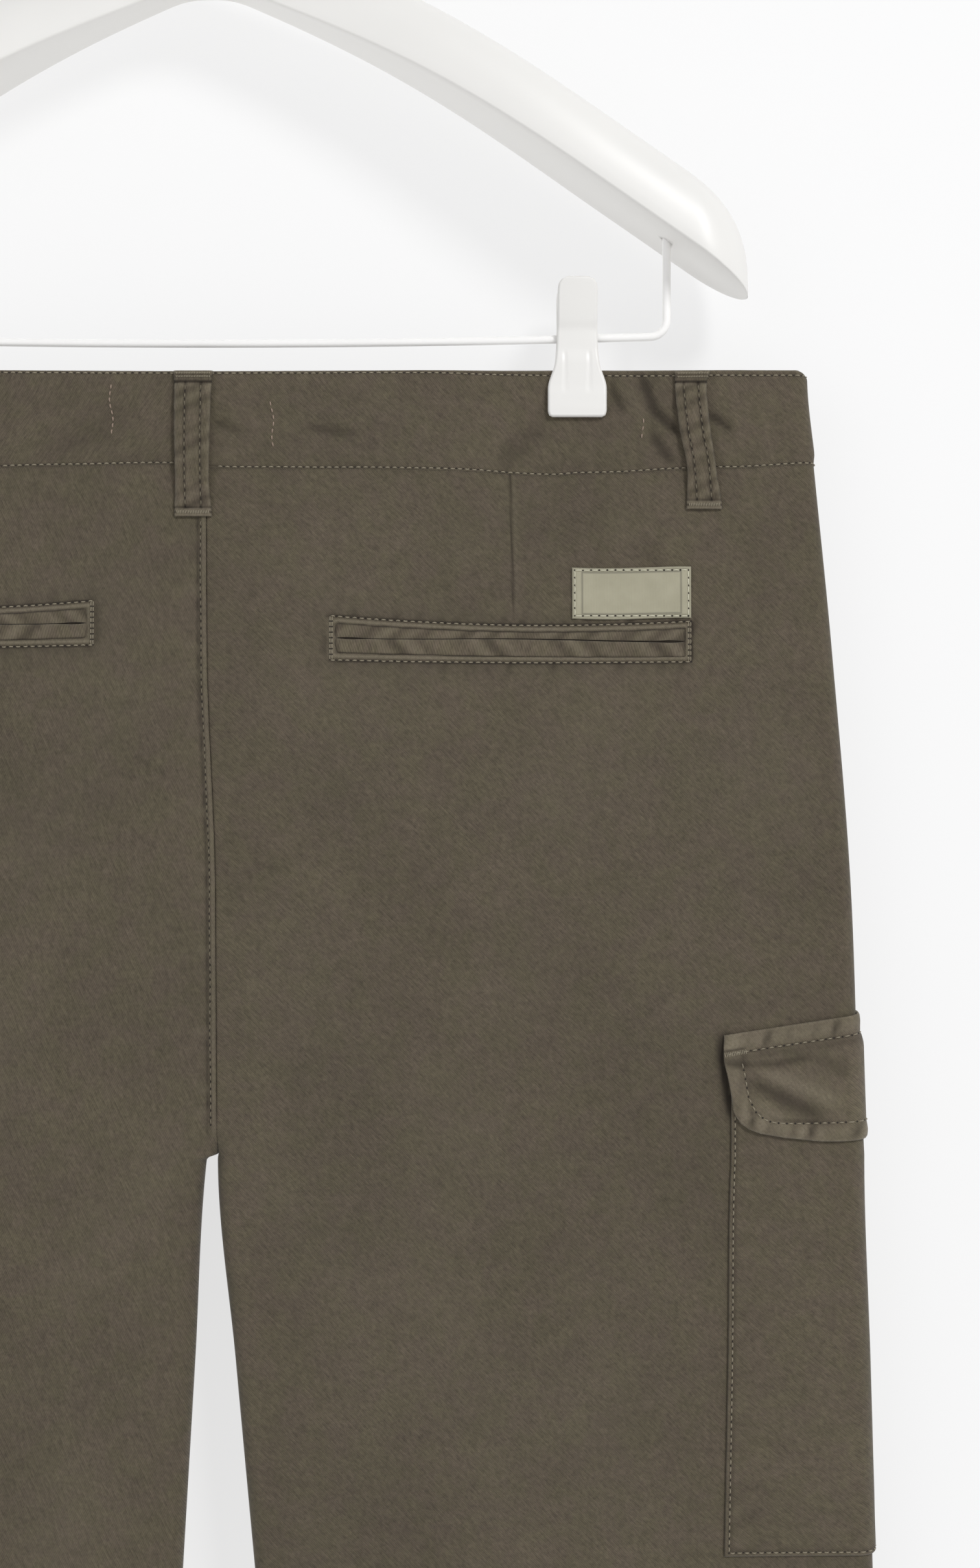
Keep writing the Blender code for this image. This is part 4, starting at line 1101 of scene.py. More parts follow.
def makeLabel():
    # the sage patch by the pocket, left bare inside its thin printed frame
    (x0, x1), (d0, d1) = label["x"], label["drops"]
    xs = graded(x0, x1, 0.9, [(x0, 4.5, 0.22), (x1, 4.5, 0.22)])
    drops = graded(d0, d1, 0.9, [(d0, 4, 0.25), (d1, 4, 0.25)])
    down, x = np.meshgrid(drops, xs, indexing="ij")
    edge, inFrame = insideLabel(x, down), insideLabel(x, down, *label["frame"])
    row = bump(edge - label["stitch"], 0.4)
    height = 1.25 - 0.5 * bump(edge, 0.35) - 0.2 * row + 0.12 * wave(x + 0.5 * down, 6.4, 0.8) * bump(edge, 3)
    height += 0.16 * wave(x - 0.7 * down, 21, 2.0)
    # the printed frame line, and painted shade along the stitch row and at the edge
    shade = 0.8 * bump(inFrame, 0.32) + 0.4 * row + 0.3 * bump(edge, 0.3)
    bend = 0.35 * np.sin((x - 140) / 9.0) * (1 - ease((edge - 1) / 4))
    clothPiece("labelPatch", pointAtX(True, x, down + bend, height), True, "label",
               ["label_patch"], label["thickness"], cutFrom(x, down, 900), 0, shade)


for side in (right, left):
    makeBand(side)
for name in loops:
    makeLoop(name)
for side in (right, left):
    makeWelt(side, True)
    makeWelt(side, False)
makeLabel()
print("waistband, loops, welts and label ready")


# Cargo pockets and flaps, wrapped round the side folds

cargo = {
    "back": 53.7,
    "front": 116.2,
    "lean": 0.047,
    "leanFrom": 290.0,
    "belowFlap": 14.0,
    "foot": 453.0,
    "stitchFrom": 284.0,
    "cloth": 1.0,
    "thickness": 0.9,
    "stitch": 1.5,
}
flap = {
    "thickness": 0.9,
    "overhang": 2.0,
    "top": 245.5,
    "slope": 0.149,
    "levelAt": 60.0,
    "bottom": 293.4,
    "corner": 15.0,
    "cornerRise": 11.0,
    "backCurve": [0, 0.6, 2.7, 5.8, 10.5, 20.7, 34],
    "backRise": [11, 9, 6, 3.9, 2.2, 0.7, 0],
    "topStitch": 7.4,
    "edgeStitch": 6.9,
    "tack": (0.4, 8.4),
    "tackHalf": 0.9,
    "sag": 1.4,
}

# The flap's own soft folds: both ends (turn, drop), height and width.
flapFolds = [
    (-47.0, 271.5, -20.0, 285.0, -1.0, 3.4),
    (-42.0, 267.5, -14.0, 279.0, 1.1, 3.2), (-46.0, 278.0, -36.0, 286.0, 0.7, 2.4),
    (-55.0, 264.8, -37.0, 265.2, -1.0, 1.5), (-37.0, 265.2, -22.0, 261.8, -0.8, 1.6),
    (-50.0, 283.0, -34.0, 290.0, 0.5, 2.6), (-20.0, 262.0, -9.0, 268.0, -0.6, 3.0),
    (-46.0, 259.0, -44.0, 266.0, 0.35, 1.5), (20.0, 262.0, 52.0, 277.0, -0.7, 4.0),
    (60.0, 276.0, 96.0, 262.0, 0.7, 5.0), (98.0, 262.0, 112.0, 284.0, -0.6, 3.0),
]


def flapTop(turn):
    share = np.clip(turn / flap["levelAt"], 0, 1)
    ahead = flap["top"] - flap["slope"] * flap["levelAt"] / 2 * (1 - (1 - share) ** 2)
    return np.where(turn < 0, flap["top"] - flap["slope"] * turn, ahead)


def flapBottom(turn):
    fromEnd = np.minimum(turn + cargo["back"] + flap["overhang"], cargo["front"] + flap["overhang"] - turn)
    share = np.clip(1 - fromEnd / flap["corner"], 0, 1)
    low = flap["bottom"] + flap["sag"] * (0.6 * bump(turn + 16, 15) + bump(turn - 70, 30))
    rounded = flap["cornerRise"] * (1 - np.sqrt(np.clip(1 - share**2, 0, 1)))
    return low - np.where(turn < 0, np.interp(fromEnd, flap["backCurve"], flap["backRise"]), rounded)


def leaned(turn, drop):
    # the pocket's ends lean along the cloth on the way down, and the fold stays
    arc = foldLength(cargo["leanFrom"])
    end = np.where(turn < 0, cargo["back"], cargo["front"])
    return turn - np.maximum(np.abs(turn) - arc, 0) / (end - arc) * cargo["lean"] * (drop - cargo["leanFrom"])


def flapLeaned(turn, drop):
    # the flap's back edge leans in more than the pocket's, and its stitches with it
    arc, first = foldLength(cargo["leanFrom"]), -cargo["back"] - flap["overhang"]
    share = np.clip((np.abs(turn) - arc) / (-first - arc), 0, 1) * (turn < 0)
    return leaned(turn, drop) + share * (flapBackTurn(drop) - leaned(np.full(np.shape(turn), first), drop))


def wrapTurns(overhang, step):
    start, end = -cargo["back"] - overhang, cargo["front"] + overhang
    return graded(start, end, step, [(start, 3, 0.4), (end, 3, 0.5), (0, 9, 0.8)])


def makeCargoPocket(side):
    word = words[side]
    turn0 = wrapTurns(0, 2.2)
    shares = graded(0, 1, 0.013, [(0, 0.01, 0.005), (1, 0.015, 0.0025)])
    share, turn = np.meshgrid(shares, turn0, indexing="ij")
    top = flapTop(turn) + cargo["belowFlap"]
    down = top + (cargo["foot"] - top) * share
    fromSide = np.minimum(turn + cargo["back"], cargo["front"] - turn)
    edge = np.minimum(fromSide, cargo["foot"] - down)
    pucker = wave(down + 0.3 * turn, 13.5, 1.7)
    footPucker = wave(turn + 0.4 * down, 10.5, 0.6)
    height = garment["laidGap"] + cargo["cloth"] - 0.5 * bump(edge, 0.4)
    height -= 0.16 * bump(edge - cargo["stitch"], 0.4)
    height += 0.32 * pucker * np.exp(-fromSide / 9) * ease((fromSide - 0.5) / 3)
    height += 0.3 * footPucker * np.exp(-(cargo["foot"] - down) / 9) * ease((edge - 0.5) / 3)
    puff = ease((edge - 2) / 22) * ease((down - flap["bottom"] + 4) / 16)  # it lies flat under the flap
    height += 0.9 * puff * (0.6 + 0.4 * wave(down - 0.4 * turn, 88, 2.4)) * ease((np.abs(turn) - 3) / 14)
    height += 0.35 * wave(turn + 0.5 * down, 38, 0.9) * puff * ease((np.abs(turn) - 3) / 14)
    wear = 0.45 * bump(edge, 0.7) + 0.2 * np.clip(pucker, 0, 1) * np.exp(-fromSide / 5)
    wear += 0.2 * np.clip(footPucker, 0, 1) * np.exp(-(cargo["foot"] - down) / 5)
    # painted shade beside the stitch row, at the ends and in the puckers' troughs
    shade = 0.3 * bump(edge - cargo["stitch"] - 0.7, 0.6) + 0.45 * bump(fromSide, 0.3)
    shade += 0.2 * np.clip(-pucker, 0, 1) * np.exp(-fromSide / 6)
    turned = leaned(turn, down)
    wear, shade = clothTones(side, turned, down, wear, shade)
    cloth = cutFrom(turn * side, down, 1100 + side)
    clothPiece("cargoPocket" + word, clothPoint(side, turned, down, height), side == right,
               "twillPocket" + word, ["cargo_pocket_" + word.lower()], cargo["thickness"],
               cloth, wear, shade)


def makeFlap(side):
    # it lies on the leg along its top seam and over the pocket below it
    word = words[side]
    turn0 = wrapTurns(flap["overhang"], 1.7)
    shares = graded(0, 1, 0.032, [(0, 0.015, 0.008), (1, 0.02, 0.008), (0.155, 0.02, 0.014)])
    share, turn = np.meshgrid(shares, turn0, indexing="ij")
    top, bottom = flapTop(turn), flapBottom(turn)
    down = top + (bottom - top) * share
    fromSide = np.minimum(turn + cargo["back"], cargo["front"] - turn) + flap["overhang"]
    fromTop, fromFoot = down - top, bottom - down
    edge = np.minimum(fromSide, fromFoot)
    laid, over = garment["laidGap"] + cargo["cloth"], 2 * garment["laidGap"] + 2 * cargo["cloth"]
    height = laid + (over - laid) * ease((share - 0.1) / 0.17)
    row = np.abs(edge - flap["edgeStitch"]) + 9 * (fromTop < flap["topStitch"])
    seam = fromTop - flap["topStitch"]
    free = ease((fromTop - 10) / 14) * ease((np.abs(turn) - 2) / 12)
    lipWave = wave(turn + 0.3 * down, 8.5, 2.0)
    height -= 0.5 * bump(edge, 0.45) + 0.45 * bump(fromTop, 0.5)
    height -= 0.26 * bump(row, 0.5) + 0.35 * bump(seam, 0.6)
    height += 0.45 * bump(edge - 3.2, 2.4) + 0.28 * bump(fromTop - 3.4, 2.2)
    height += 0.22 * lipWave * (bump(edge - 3.2, 3.0) + bump(fromTop - 4, 4.0)) * ease((np.abs(turn) - 2) / 6)
    fold = np.zeros(turn.shape)
    for *ends, high, width in flapFolds:
        s, away = beside(turn, down, *ends)
        fold += high * bump(away, width) * ease((s + 0.2) / 0.4) * (1 - ease((s - 0.8) / 0.4))
    height += fold * ease((np.abs(turn) - 3) / 8) + 0.5 * free * bump(edge, 10)
    backEdge = turn + cargo["back"] + flap["overhang"]  # it stands off the pocket there
    height += 1.1 * bump(backEdge, 5.0) * ease((fromTop - 9) / 9) * ease((fromFoot - 2) / 6)
    top = bump(fromTop - 3.6, 3.0)
    wear = 0.6 * bump(edge, 0.8) + 0.45 * bump(fromTop, 0.9) + 0.46 * top + 0.06 + 0.3 * bump(edge - 3.4, 3.2)
    wear += 0.6 * np.clip(lipWave, 0, 1) * bump(edge - 3, 3.5) + 0.45 * np.clip(fold, 0, 1)
    # painted shade in the stitch rows, in the valley under the top stitching, in the folds' and lip waves'
    # troughs and above the tacks
    shade = 0.5 * bump(row, 0.5) + 0.55 * bump(seam, 0.45) + 0.35 * bump(seam - 2.0, 1.5)
    shade += 0.7 * np.clip(-fold, 0, 1)
    shade += 0.9 * np.clip(-lipWave - 0.1, 0, 1) * (bump(edge - 3.5, 3.0) + top)
    shade += 0.7 * (fromSide < 8.5) * bump(seam + 1.3, 0.5)  # above the tacks at its ends
    cloth = cutFrom(turn * side, down, 1300 + side)
    points = clothPoint(side, flapLeaned(turn, down), down, height)
    clothPiece("cargoFlap" + word, points, side == right, "twillFlap" + word,
               ["cargo_flap_" + word.lower()], flap["thickness"],
               cloth, wear, shade)


for side in (right, left):
    makeCargoPocket(side)
    makeFlap(side)
print("cargo pockets and flaps ready")


# Sewing

stitch = {
    "pitch": 2.78,
    "flapPitch": 3.25,
    "tackPitch": 0.62,
    "length": 1.72,
    "radius": 0.28,
    "holeShade": 0.42,
    "sides": 5,
    "holeSides": 6,
    # along a stitch: the share of its length, its girth, and how far it stands off the cloth, in radii
    "rings": [(0.0, 0.4, -0.5), (0.14, 0.9, 0.2), (0.5, 1.0, 0.85), (0.86, 0.9, 0.2), (1.0, 0.4, -0.5)],
}


def strokes(places, pitch):
    # the length run at each place of a dense line, and the middles of the equal stitches along it
    steps = np.linalg.norm(np.diff(places, axis=0), axis=1)
    run = np.concatenate([[0], np.cumsum(steps)])
    count = max(int(round(run[-1] / pitch)), 1)
    return run, (np.arange(count) + 0.5) * run[-1] / count


class Sewing:
    # collects the stitches of one thread into one mesh, and the dark discs of painted shade at their needle
    # holes into another
    def __init__(self, name, finish, radius, slotName):
        self.name, self.finish, self.radius, self.slotName = name, finish, radius, slotName
        self.verts, self.faces, self.holes, self.holeFaces = [], [], [], []

    def capsule(self, start, middle, end, normal):
        sides, rings, base = stitch["sides"], stitch["rings"], len(self.verts)
        along = (end - start) / max(np.linalg.norm(end - start), 1e-6)
        across = np.cross(normal, along)
        across /= max(np.linalg.norm(across), 1e-6)
        up = np.cross(along, across)
        for t, girth, lift in rings:
            centre = start * (1 - t) ** 2 + middle * 2 * t * (1 - t) + end * t * t + up * self.radius * lift
            for k in range(sides):
                a = 2 * math.pi * k / sides
                outward = across * math.cos(a) + up * math.sin(a)
                self.verts.append((centre + self.radius * girth * outward) * mm)
        self.faces += tubeFaces(len(rings), sides, base)

    # a dark disc of painted shade where the thread pulls the cloth into a needle hole
    def holeShade(self, place, normal):
        base, sides = len(self.holes), stitch["holeSides"]
        aside = np.cross(normal, [0.3, 0.2, 1.0])
        aside /= np.linalg.norm(aside)
        other = np.cross(normal, aside)
        for k in range(sides):
            a = 2 * math.pi * k / sides
            spot = place + normal * 0.05 + stitch["holeShade"] * (aside * math.cos(a) + other * math.sin(a))
            self.holes.append(spot * mm)
        self.holeFaces.append(tuple(base + k for k in range(sides)))

    def sew(self, pieceName, places, normals, pitch=stitch["pitch"], length=stitch["length"], pierced=True):
        # lays stitches along a line of places, pressed onto a piece of cloth
        run, centres = strokes(places, pitch)
        tree = surfaces[pieceName]

        def pressed(at):
            place = np.array([np.interp(at, run, places[:, k]) for k in range(3)])
            normal = np.array([np.interp(at, run, normals[:, k]) for k in range(3)])
            normal /= np.linalg.norm(normal)
            hit = tree.ray_cast(Vector((place + normal * 9) * mm), Vector(-normal), 0.03)
            if hit[0] is None:
                return None, normal
            face = np.array(hit[1])
            return np.array(hit[0]) / mm, face if face @ normal > 0 else -face

        for centre in centres:
            (a, _), (b, n), (c, _) = (pressed(centre + d) for d in (-length / 2, 0, length / 2))
            if a is None or b is None or c is None:
                continue
            self.capsule(a, 2 * b - (a + c) / 2, c, n)
            if pierced:
                gap, m = pressed(centre + max(pitch, 2) / 2)
                if gap is not None:
                    self.holeShade(gap, m)

    def finishUp(self):
        for name, verts, faces, finish in ((self.name, self.verts, self.faces, self.finish),
                                           (self.name + "HoleShades", self.holes, self.holeFaces, "holeShade")):
            if faces:
                piece = smoothPiece(name, [tuple(v) for v in verts], faces)
                dressed(piece, materials[finish], [])


def dense(*values, count=240):
    # a line through a few given places, filled in finely
    t = np.linspace(0, 1, count)
    return [np.interp(t, np.linspace(0, 1, len(value)), value) for value in values]


def faceLine(behind, xs, drops, count=240):
    # a line drawn on the back or front by X and drop
    x, down = dense(xs, drops, count=count)
    normals = np.zeros((count, 3))
    normals[:, 1] = -1 if behind else 1
    return pointAtX(behind, x, down), normals


def turnLine(side, turns, drops, lean=None, count=420):
    # a line drawn round the side fold by turn and drop
    turn, down = dense(turns, drops, count=count)
    turn = lean(turn, down) if lean else turn
    return clothPoint(side, turn, down), clothNormal(side, turn, down)


def tack(sewing, pieceName, behind, x, drop, width, height):
    # a level bar of dense, nearly upright stitches
    count = int(width / stitch["tackPitch"])
    for k in range(count):
        t = (k + 0.5) / count - 0.5
        xs, drops = (x + width * (t - 0.012), x + width * (t + 0.012)), (drop - height / 2, drop + height / 2)
        line = faceLine(behind, xs, drops, 5)
        sewing.sew(pieceName, *line, pitch=height, length=height * 0.96, pierced=False)


def sewBands(sewing):
    for side, word in words.items():
        for row in (0, 1):
            end = float(turnOf(side, float(innerAcross(side, 1.0)) + 0.6, 1.0))
            turns = np.linspace(-end, end, 900)
            downs = bandRows(side, turns)[row] + 0.06 * np.sin(turns / 17.0) + 0.05 * np.sin(turns / 5.3)
            sewing.sew("waistband" + word, *turnLine(side, turns, slipped(side, turns, downs), count=900))


def sewLoops(sewing, bars):
    # the rows along the loops, and the tacks at their ends
    for name, loop in loops.items():
        top, bottom = loop["drop"][0], loop["drop"][-1]
        down = np.linspace(top + loopShape["cap"] + 0.8, bottom - loopShape["foot"] - 0.4, 24)
        middle = smoothCurve(loop["drop"], loop["middle"], down)
        for row in loop["rows"]:
            sewing.sew(name, *faceLine(loop["behind"], middle + row, down), pitch=3.1)
        for k, drop, tall in ((0, top + 1.0, 0.8), (0, top + 2.3, 0.8), (-1, bottom - 1.7, 1.5)):
            tack(bars, name, loop["behind"], loop["middle"][k], drop, loop["width"][k] * 0.88, tall)


def sewBacks(sewing, bars, dim):
    strip = panels["seamStitch"]
    down = np.linspace(56.5, 288, 60)
    dim.sew("backLeft", *faceLine(True, innerX(left, down) - strip + 0.12 * np.sin(down / 7.0), down, 700))
    for side, word in words.items():
        pocket = backPocket[side]
        across = np.linspace(pocket["inner"], pocket["outer"], 60)
        for edgeOf in (pocketTop, pocketFoot):
            sewing.sew("back" + word, *faceLine(True, side * across, edgeOf(side, across), 500))
        for end, way in ((pocket["inner"], 1), (pocket["outer"], -1)):
            high, low = float(pocketTop(side, end)), float(pocketFoot(side, end))
            for inset in (0.3, 1.1):
                x = side * (end + way * inset)
                bars.sew("back" + word, *faceLine(True, (x, x), (high, low)), pitch=2.2, length=1.9)
        end = float(turnOf(side, innerAcross(side, panels["hemStitch"]) + 3.0, panels["hemStitch"]))
        sewing.sew("back" + word, *turnLine(side, (-0.8, -end), (panels["hemStitch"],) * 2))
        sewing.sew("front" + word, *turnLine(side, (0.8, end), (panels["hemStitch"],) * 2))


def innerX(side, drop):
    return side * innerAcross(side, drop)


def sewFronts(sewing, bars):
    fly = panels["flyWidth"]
    angle = np.radians(np.linspace(0, 84, 30))
    xs = np.concatenate([[-fly, -fly], -fly * np.cos(angle)])
    drops = np.concatenate([[38.0, panels["flyTurn"]], panels["flyTurn"] + fly * np.sin(angle)])
    run = np.concatenate([[0], np.cumsum(np.hypot(np.diff(xs), np.diff(drops)))])
    even = np.linspace(0, run[-1], 120)
    sewing.sew("frontLeft", *faceLine(False, np.interp(even, run, xs), np.interp(even, run, drops), 600))
    tack(bars, "frontLeft", False, -fly + 4.0, panels["flyTurn"] + 12, 7.0, 1.6)
    seam = np.linspace(186, 288, 30)
    sewing.sew("frontLeft", *faceLine(False, innerX(left, seam) - 1.6, seam, 300))
    for side, word in words.items():
        down = np.linspace(38, frontMouth["end"] - 3, 30)
        for row in frontMouth["stitches"]:
            sewing.sew("front" + word, *faceLine(False, side * (mouthAcross(side, down) - row), down, 400))
        tack(bars, "front" + word, False, side * (float(mouthAcross(side, 42)) - 4.3), 42.0, 6.5, 1.5)


def sewCargo(sewing, bars):
    back, front, inset = cargo["back"], cargo["front"], cargo["stitch"]
    for side, word in words.items():
        pocket, lid = "cargoPocket" + word, "cargoFlap" + word
        foot = cargo["foot"] - inset
        for turn in (-back + inset, front - inset):
            sewing.sew(pocket, *turnLine(side, (turn, turn), (cargo["stitchFrom"], foot), leaned))
        sewing.sew(pocket, *turnLine(side, (-back + inset, front - inset), (foot, foot), leaned, 600))
        first, last = -back - flap["overhang"], front + flap["overhang"]
        turns = np.linspace(first + 0.8, last - 0.8, 60)
        sewing.sew(lid, *turnLine(side, turns, flapTop(turns) + flap["topStitch"], flapLeaned, 700),
                   pitch=stitch["flapPitch"])
        rim = np.linspace(first + flap["edgeStitch"], last - flap["edgeStitch"], 80)
        fromEnd = np.minimum(rim - first, last - rim) - flap["edgeStitch"]
        bend = np.clip(1 - fromEnd / 10, 0, 1)
        low = flapBottom(rim * 0.8 + 6) - flap["edgeStitch"] - 9.0 * (1 - np.sqrt(np.clip(1 - bend**2, 0, 1)))
        sewing.sew(lid, *turnLine(side, rim, low, flapLeaned, 700), pitch=stitch["flapPitch"])
        for turn, end in ((rim[0], low[0]), (rim[-1], low[-1])):
            high = float(flapTop(turn)) + flap["topStitch"] + 3.5
            line = turnLine(side, (turn, turn), (high, float(end)), flapLeaned)
            sewing.sew(lid, *line, pitch=stitch["flapPitch"])
        (near, far), tall = flap["tack"], flap["tackHalf"]
        for start, stop in ((first + near, first + far), (last - far, last - near)):
            for turn in np.linspace(start, stop, 13):
                high = float(flapTop(turn)) + flap["topStitch"]
                line = turnLine(side, (turn, turn + 0.3), (high - tall, high + tall), flapLeaned, 5)
                bars.sew(lid, *line, pitch=1.8, length=1.75, pierced=False)


def sewLabel(pale):
    (x0, x1), (d0, d1), inset = label["x"], label["drops"], label["stitch"]
    xs = (x0 + inset, x1 - inset, x1 - inset, x0 + inset, x0 + inset)
    drops = (d0 + inset, d0 + inset, d1 - inset, d1 - inset, d0 + inset)
    for k in range(4):
        pale.sew("labelPatch", *faceLine(True, xs[k:k + 2], drops[k:k + 2]), pitch=3.2, length=2.5)


# Upright tacks that hold the band's inside: X, top and bottom drop.
bandTacks = [(-37.0, 4.3, 24.0), (24.8, 10.7, 29.0), (166.9, 16.6, 25.3)]


def sewBandTacks(tacks):
    for x, high, low in bandTacks:
        down = np.linspace(high, low, 40)
        bent = x + 0.5 * np.sin(down / 2.3) + 0.05 * (down - high)
        name = "waistband" + words[right if x > 0 else left]
        tacks.sew(name, *faceLine(True, bent, down), pitch=2.6, length=1.75, pierced=False)


sewn = {
    "main": Sewing("topstitching", "thread", stitch["radius"], "twill"),
    "dim": Sewing("sunkStitching", "shadedThread", 0.29, "twill"),
    "bars": Sewing("bartacks", "thread", 0.24, "worn_twill"),
    "pale": Sewing("labelStitching", "paleThread", 0.29, "label"),
    "tacks": Sewing("bandTacks", "tackThread", 0.33, "worn_twill"),
}
sewBands(sewn["main"])
sewLoops(sewn["dim"], sewn["bars"])
sewBacks(sewn["main"], sewn["bars"], sewn["dim"])
sewFronts(sewn["main"], sewn["bars"])
sewCargo(sewn["main"], sewn["bars"])
sewLabel(sewn["pale"])
sewBandTacks(sewn["tacks"])
for sewing in sewn.values():
    sewing.finishUp()
print("sewing ready:", {key: len(sewing.faces) for key, sewing in sewn.items()})


# Waist button

button = {"x": -13.0, "drop": 18.0, "radius": 8.5, "thickness": 2.6, "rim": 1.3, "dish": 0.7, "spread": 1.7}


def turned(name, profile, segments):
    # a profile of (radius, height) in mm, turned round the Y axis
    verts = []
    for radius, height in profile:
        for k in range(segments):
            a = 2 * math.pi * k / segments
            verts.append((radius * math.cos(a) * mm, height * mm, radius * math.sin(a) * mm))
    return smoothPiece(name, verts, tubeFaces(len(profile), segments))


def makeButton():
    radius, thick, inner = button["radius"], button["thickness"], button["radius"] - button["rim"]
    dished = thick - button["dish"]
    profile = [(radius - 1.2, 0.0), (radius - 0.4, 0.3), (radius, 1.0), (radius - 0.15, thick - 0.5),
               (radius - 0.6, thick - 0.06), (inner, thick - 0.05), (inner - 0.7, dished),
               (1.0, dished - 0.1), (0.2, dished - 0.1)]
    piece = turned("waistButton", profile, 64)
    place = pointAtX(False, button["x"], button["drop"], garment["bandProud"] + 0.4)
    piece.data.transform(Matrix.Translation(Vector(place * mm)))
    face = place[1] + dished - 0.1
    dressed(piece, materials["button"], ["waist_button"])
    thread = Sewing("buttonThread", "thread", 0.3, "button")
    up = np.array([0.0, 1.0, 0.0])
    # dark discs of painted shade in the button's four holes
    for x in (-1, 1):
        for z in (-1, 1):
            spot = np.array([place[0] + x * button["spread"], face, place[2] + z * button["spread"]])
            thread.holeShade(spot, up)
    for x in (-1, 1):
        for shift in (-0.25, 0.25):
            start = np.array([place[0] + x * button["spread"] + shift, face, place[2] - button["spread"]])
            end = start + np.array([0, 0, 2 * button["spread"]])
            middle = (start + end) / 2 + up * 1.0
            thread.capsule(start, middle, end, up)
    thread.finishUp()


makeButton()


# Hanger

hanger = {
    "half": 207.9,
    "halfWide": (9.0, 14.0),  # at the neck, and what it gains on the way out
    "crown": (28.0, 3.0),
    "widenOver": 150.0,
    "roundFrom": (187.0, 180.0),  # where the plan and the crown round off towards the ends
    "squareness": 0.77,
    "slope": (0.42, 0.693),
    "neckDrop": -29.8,
    "neckTall": 36.0,
    "neckRise": 8.0,
    "barDrop": -14.8,
    "barSag": 2.6,
    "legX": 176.6,
    "bend": 6.5,
    "wire": 1.6,
    "hookWire": 2.3,
    "hookInside": 20.0,
    "hookTip": 198.0,
    "hookLeave": -40.0,
    "stem": 12.0,
    "sweep": 9.0,
    "socketDeep": 12.0,
    "edgeRound": 1.1,
}


def undersideDrop(x):
    # level at the neck and steeper towards the ends
    x, n = abs(x), 60
    span = hanger["half"] - x
    at = x + span * (np.arange(n) + 0.5) / n
    gentle, steep = hanger["slope"]
    slope = gentle + (steep - gentle) * ease((at - 20) / 125)
    return hanger["neckDrop"] - float(np.sum(slope * ease(at / 18.0)) * span / n)


def shoulderSection(x):
    # a D on its side: a flat underside with softened edges under a round crown
    grown, end, power = float(ease(x / hanger["widenOver"])), hanger["half"], hanger["squareness"]
    planFrom, crownFrom = hanger["roundFrom"]
    half = hanger["halfWide"][0] + hanger["halfWide"][1] * grown
    if x > planFrom:
        half *= math.sqrt(max(1 - ((x - planFrom) / (end - planFrom)) ** 2, 0.002))
    endShare = min(max((x - crownFrom) / (end - crownFrom), 0), 0.999)
    crown = (hanger["crown"][0] + hanger["crown"][1] * grown) * (1 - endShare**3) ** (1 / 3)
    crown += hanger["neckRise"] * (1 - float(ease(x / 16)))
    low = waistZ / mm - undersideDrop(x)
    soft = min(hanger["edgeRound"], half * 0.3, crown * 0.2)
    points = [(x, y, low) for y in np.linspace(-half + soft, half - soft, 9)]
    for angle in (30, 60):
        a = math.radians(angle)
        points.append((x, half - soft + soft * math.sin(a), low + soft * (1 - math.cos(a))))
    for angle in np.linspace(0, 180, 49):
        c, s = math.cos(math.radians(angle)), math.sin(math.radians(angle))
        rise = soft + (crown - soft) * abs(s) ** power
        points.append((x, half * math.copysign(abs(c) ** power, c), low + rise))
    for angle in (60, 30):
        a = math.radians(angle)
        points.append((x, -half + soft - soft * math.sin(a), low + soft * (1 - math.cos(a))))
    return points


def cutSocket(piece, x, lowDrop, highDrop, radius):
    # an upright hole that a wire's end stands in
    mesh = bpy.data.meshes.new("socket")
    tool = bmesh.new()
    bmesh.ops.create_cone(tool, cap_ends=True, segments=32, radius1=radius * mm, radius2=radius * mm,
                          depth=(lowDrop - highDrop) * mm)
    bmesh.ops.translate(tool, verts=tool.verts, vec=(x * mm, 0, waistZ - (lowDrop + highDrop) / 2 * mm))
    tool.to_mesh(mesh)
    tool.free()
    cutter = linked("socket", mesh)
    cut = piece.modifiers.new("socket", "BOOLEAN")
    cut.operation, cut.object = "DIFFERENCE", cutter
    graph = bpy.context.evaluated_depsgraph_get()
    made = bpy.data.meshes.new_from_object(piece.evaluated_get(graph))
    piece.modifiers.remove(cut)
    piece.data = made
    bpy.data.objects.remove(cutter)


def makeShoulders():
    # stations from the neck to the tip, mirrored to the left
    xs = np.concatenate([np.linspace(0, 20, 12), np.linspace(24, 176, 44), np.linspace(179, 200, 15),
                         np.linspace(201, 207.85, 12)])
    sections = [shoulderSection(float(x)) for x in xs]
    ring = [[(-x, y, z) for x, y, z in section] for section in sections[:0:-1]] + sections
    verts = [(x * mm, y * mm, z * mm) for section in ring for x, y, z in section]
    piece = smoothPiece("hangerShoulders", verts, tubeFaces(len(ring), len(ring[0])))
    for side in (left, right):
        low = undersideDrop(hanger["legX"])
        cutSocket(piece, side * hanger["legX"], low + 6, low - hanger["socketDeep"], hanger["wire"] + 0.6)
    top = undersideDrop(0) - hanger["neckTall"]
    cutSocket(piece, 0, top + hanger["socketDeep"], top - 6, hanger["hookWire"] + 0.5)
    piece.data.polygons.foreach_set("use_smooth", np.ones(len(piece.data.polygons), bool))
    dressed(piece, materials["plastic"], ["hanger_shoulders"])


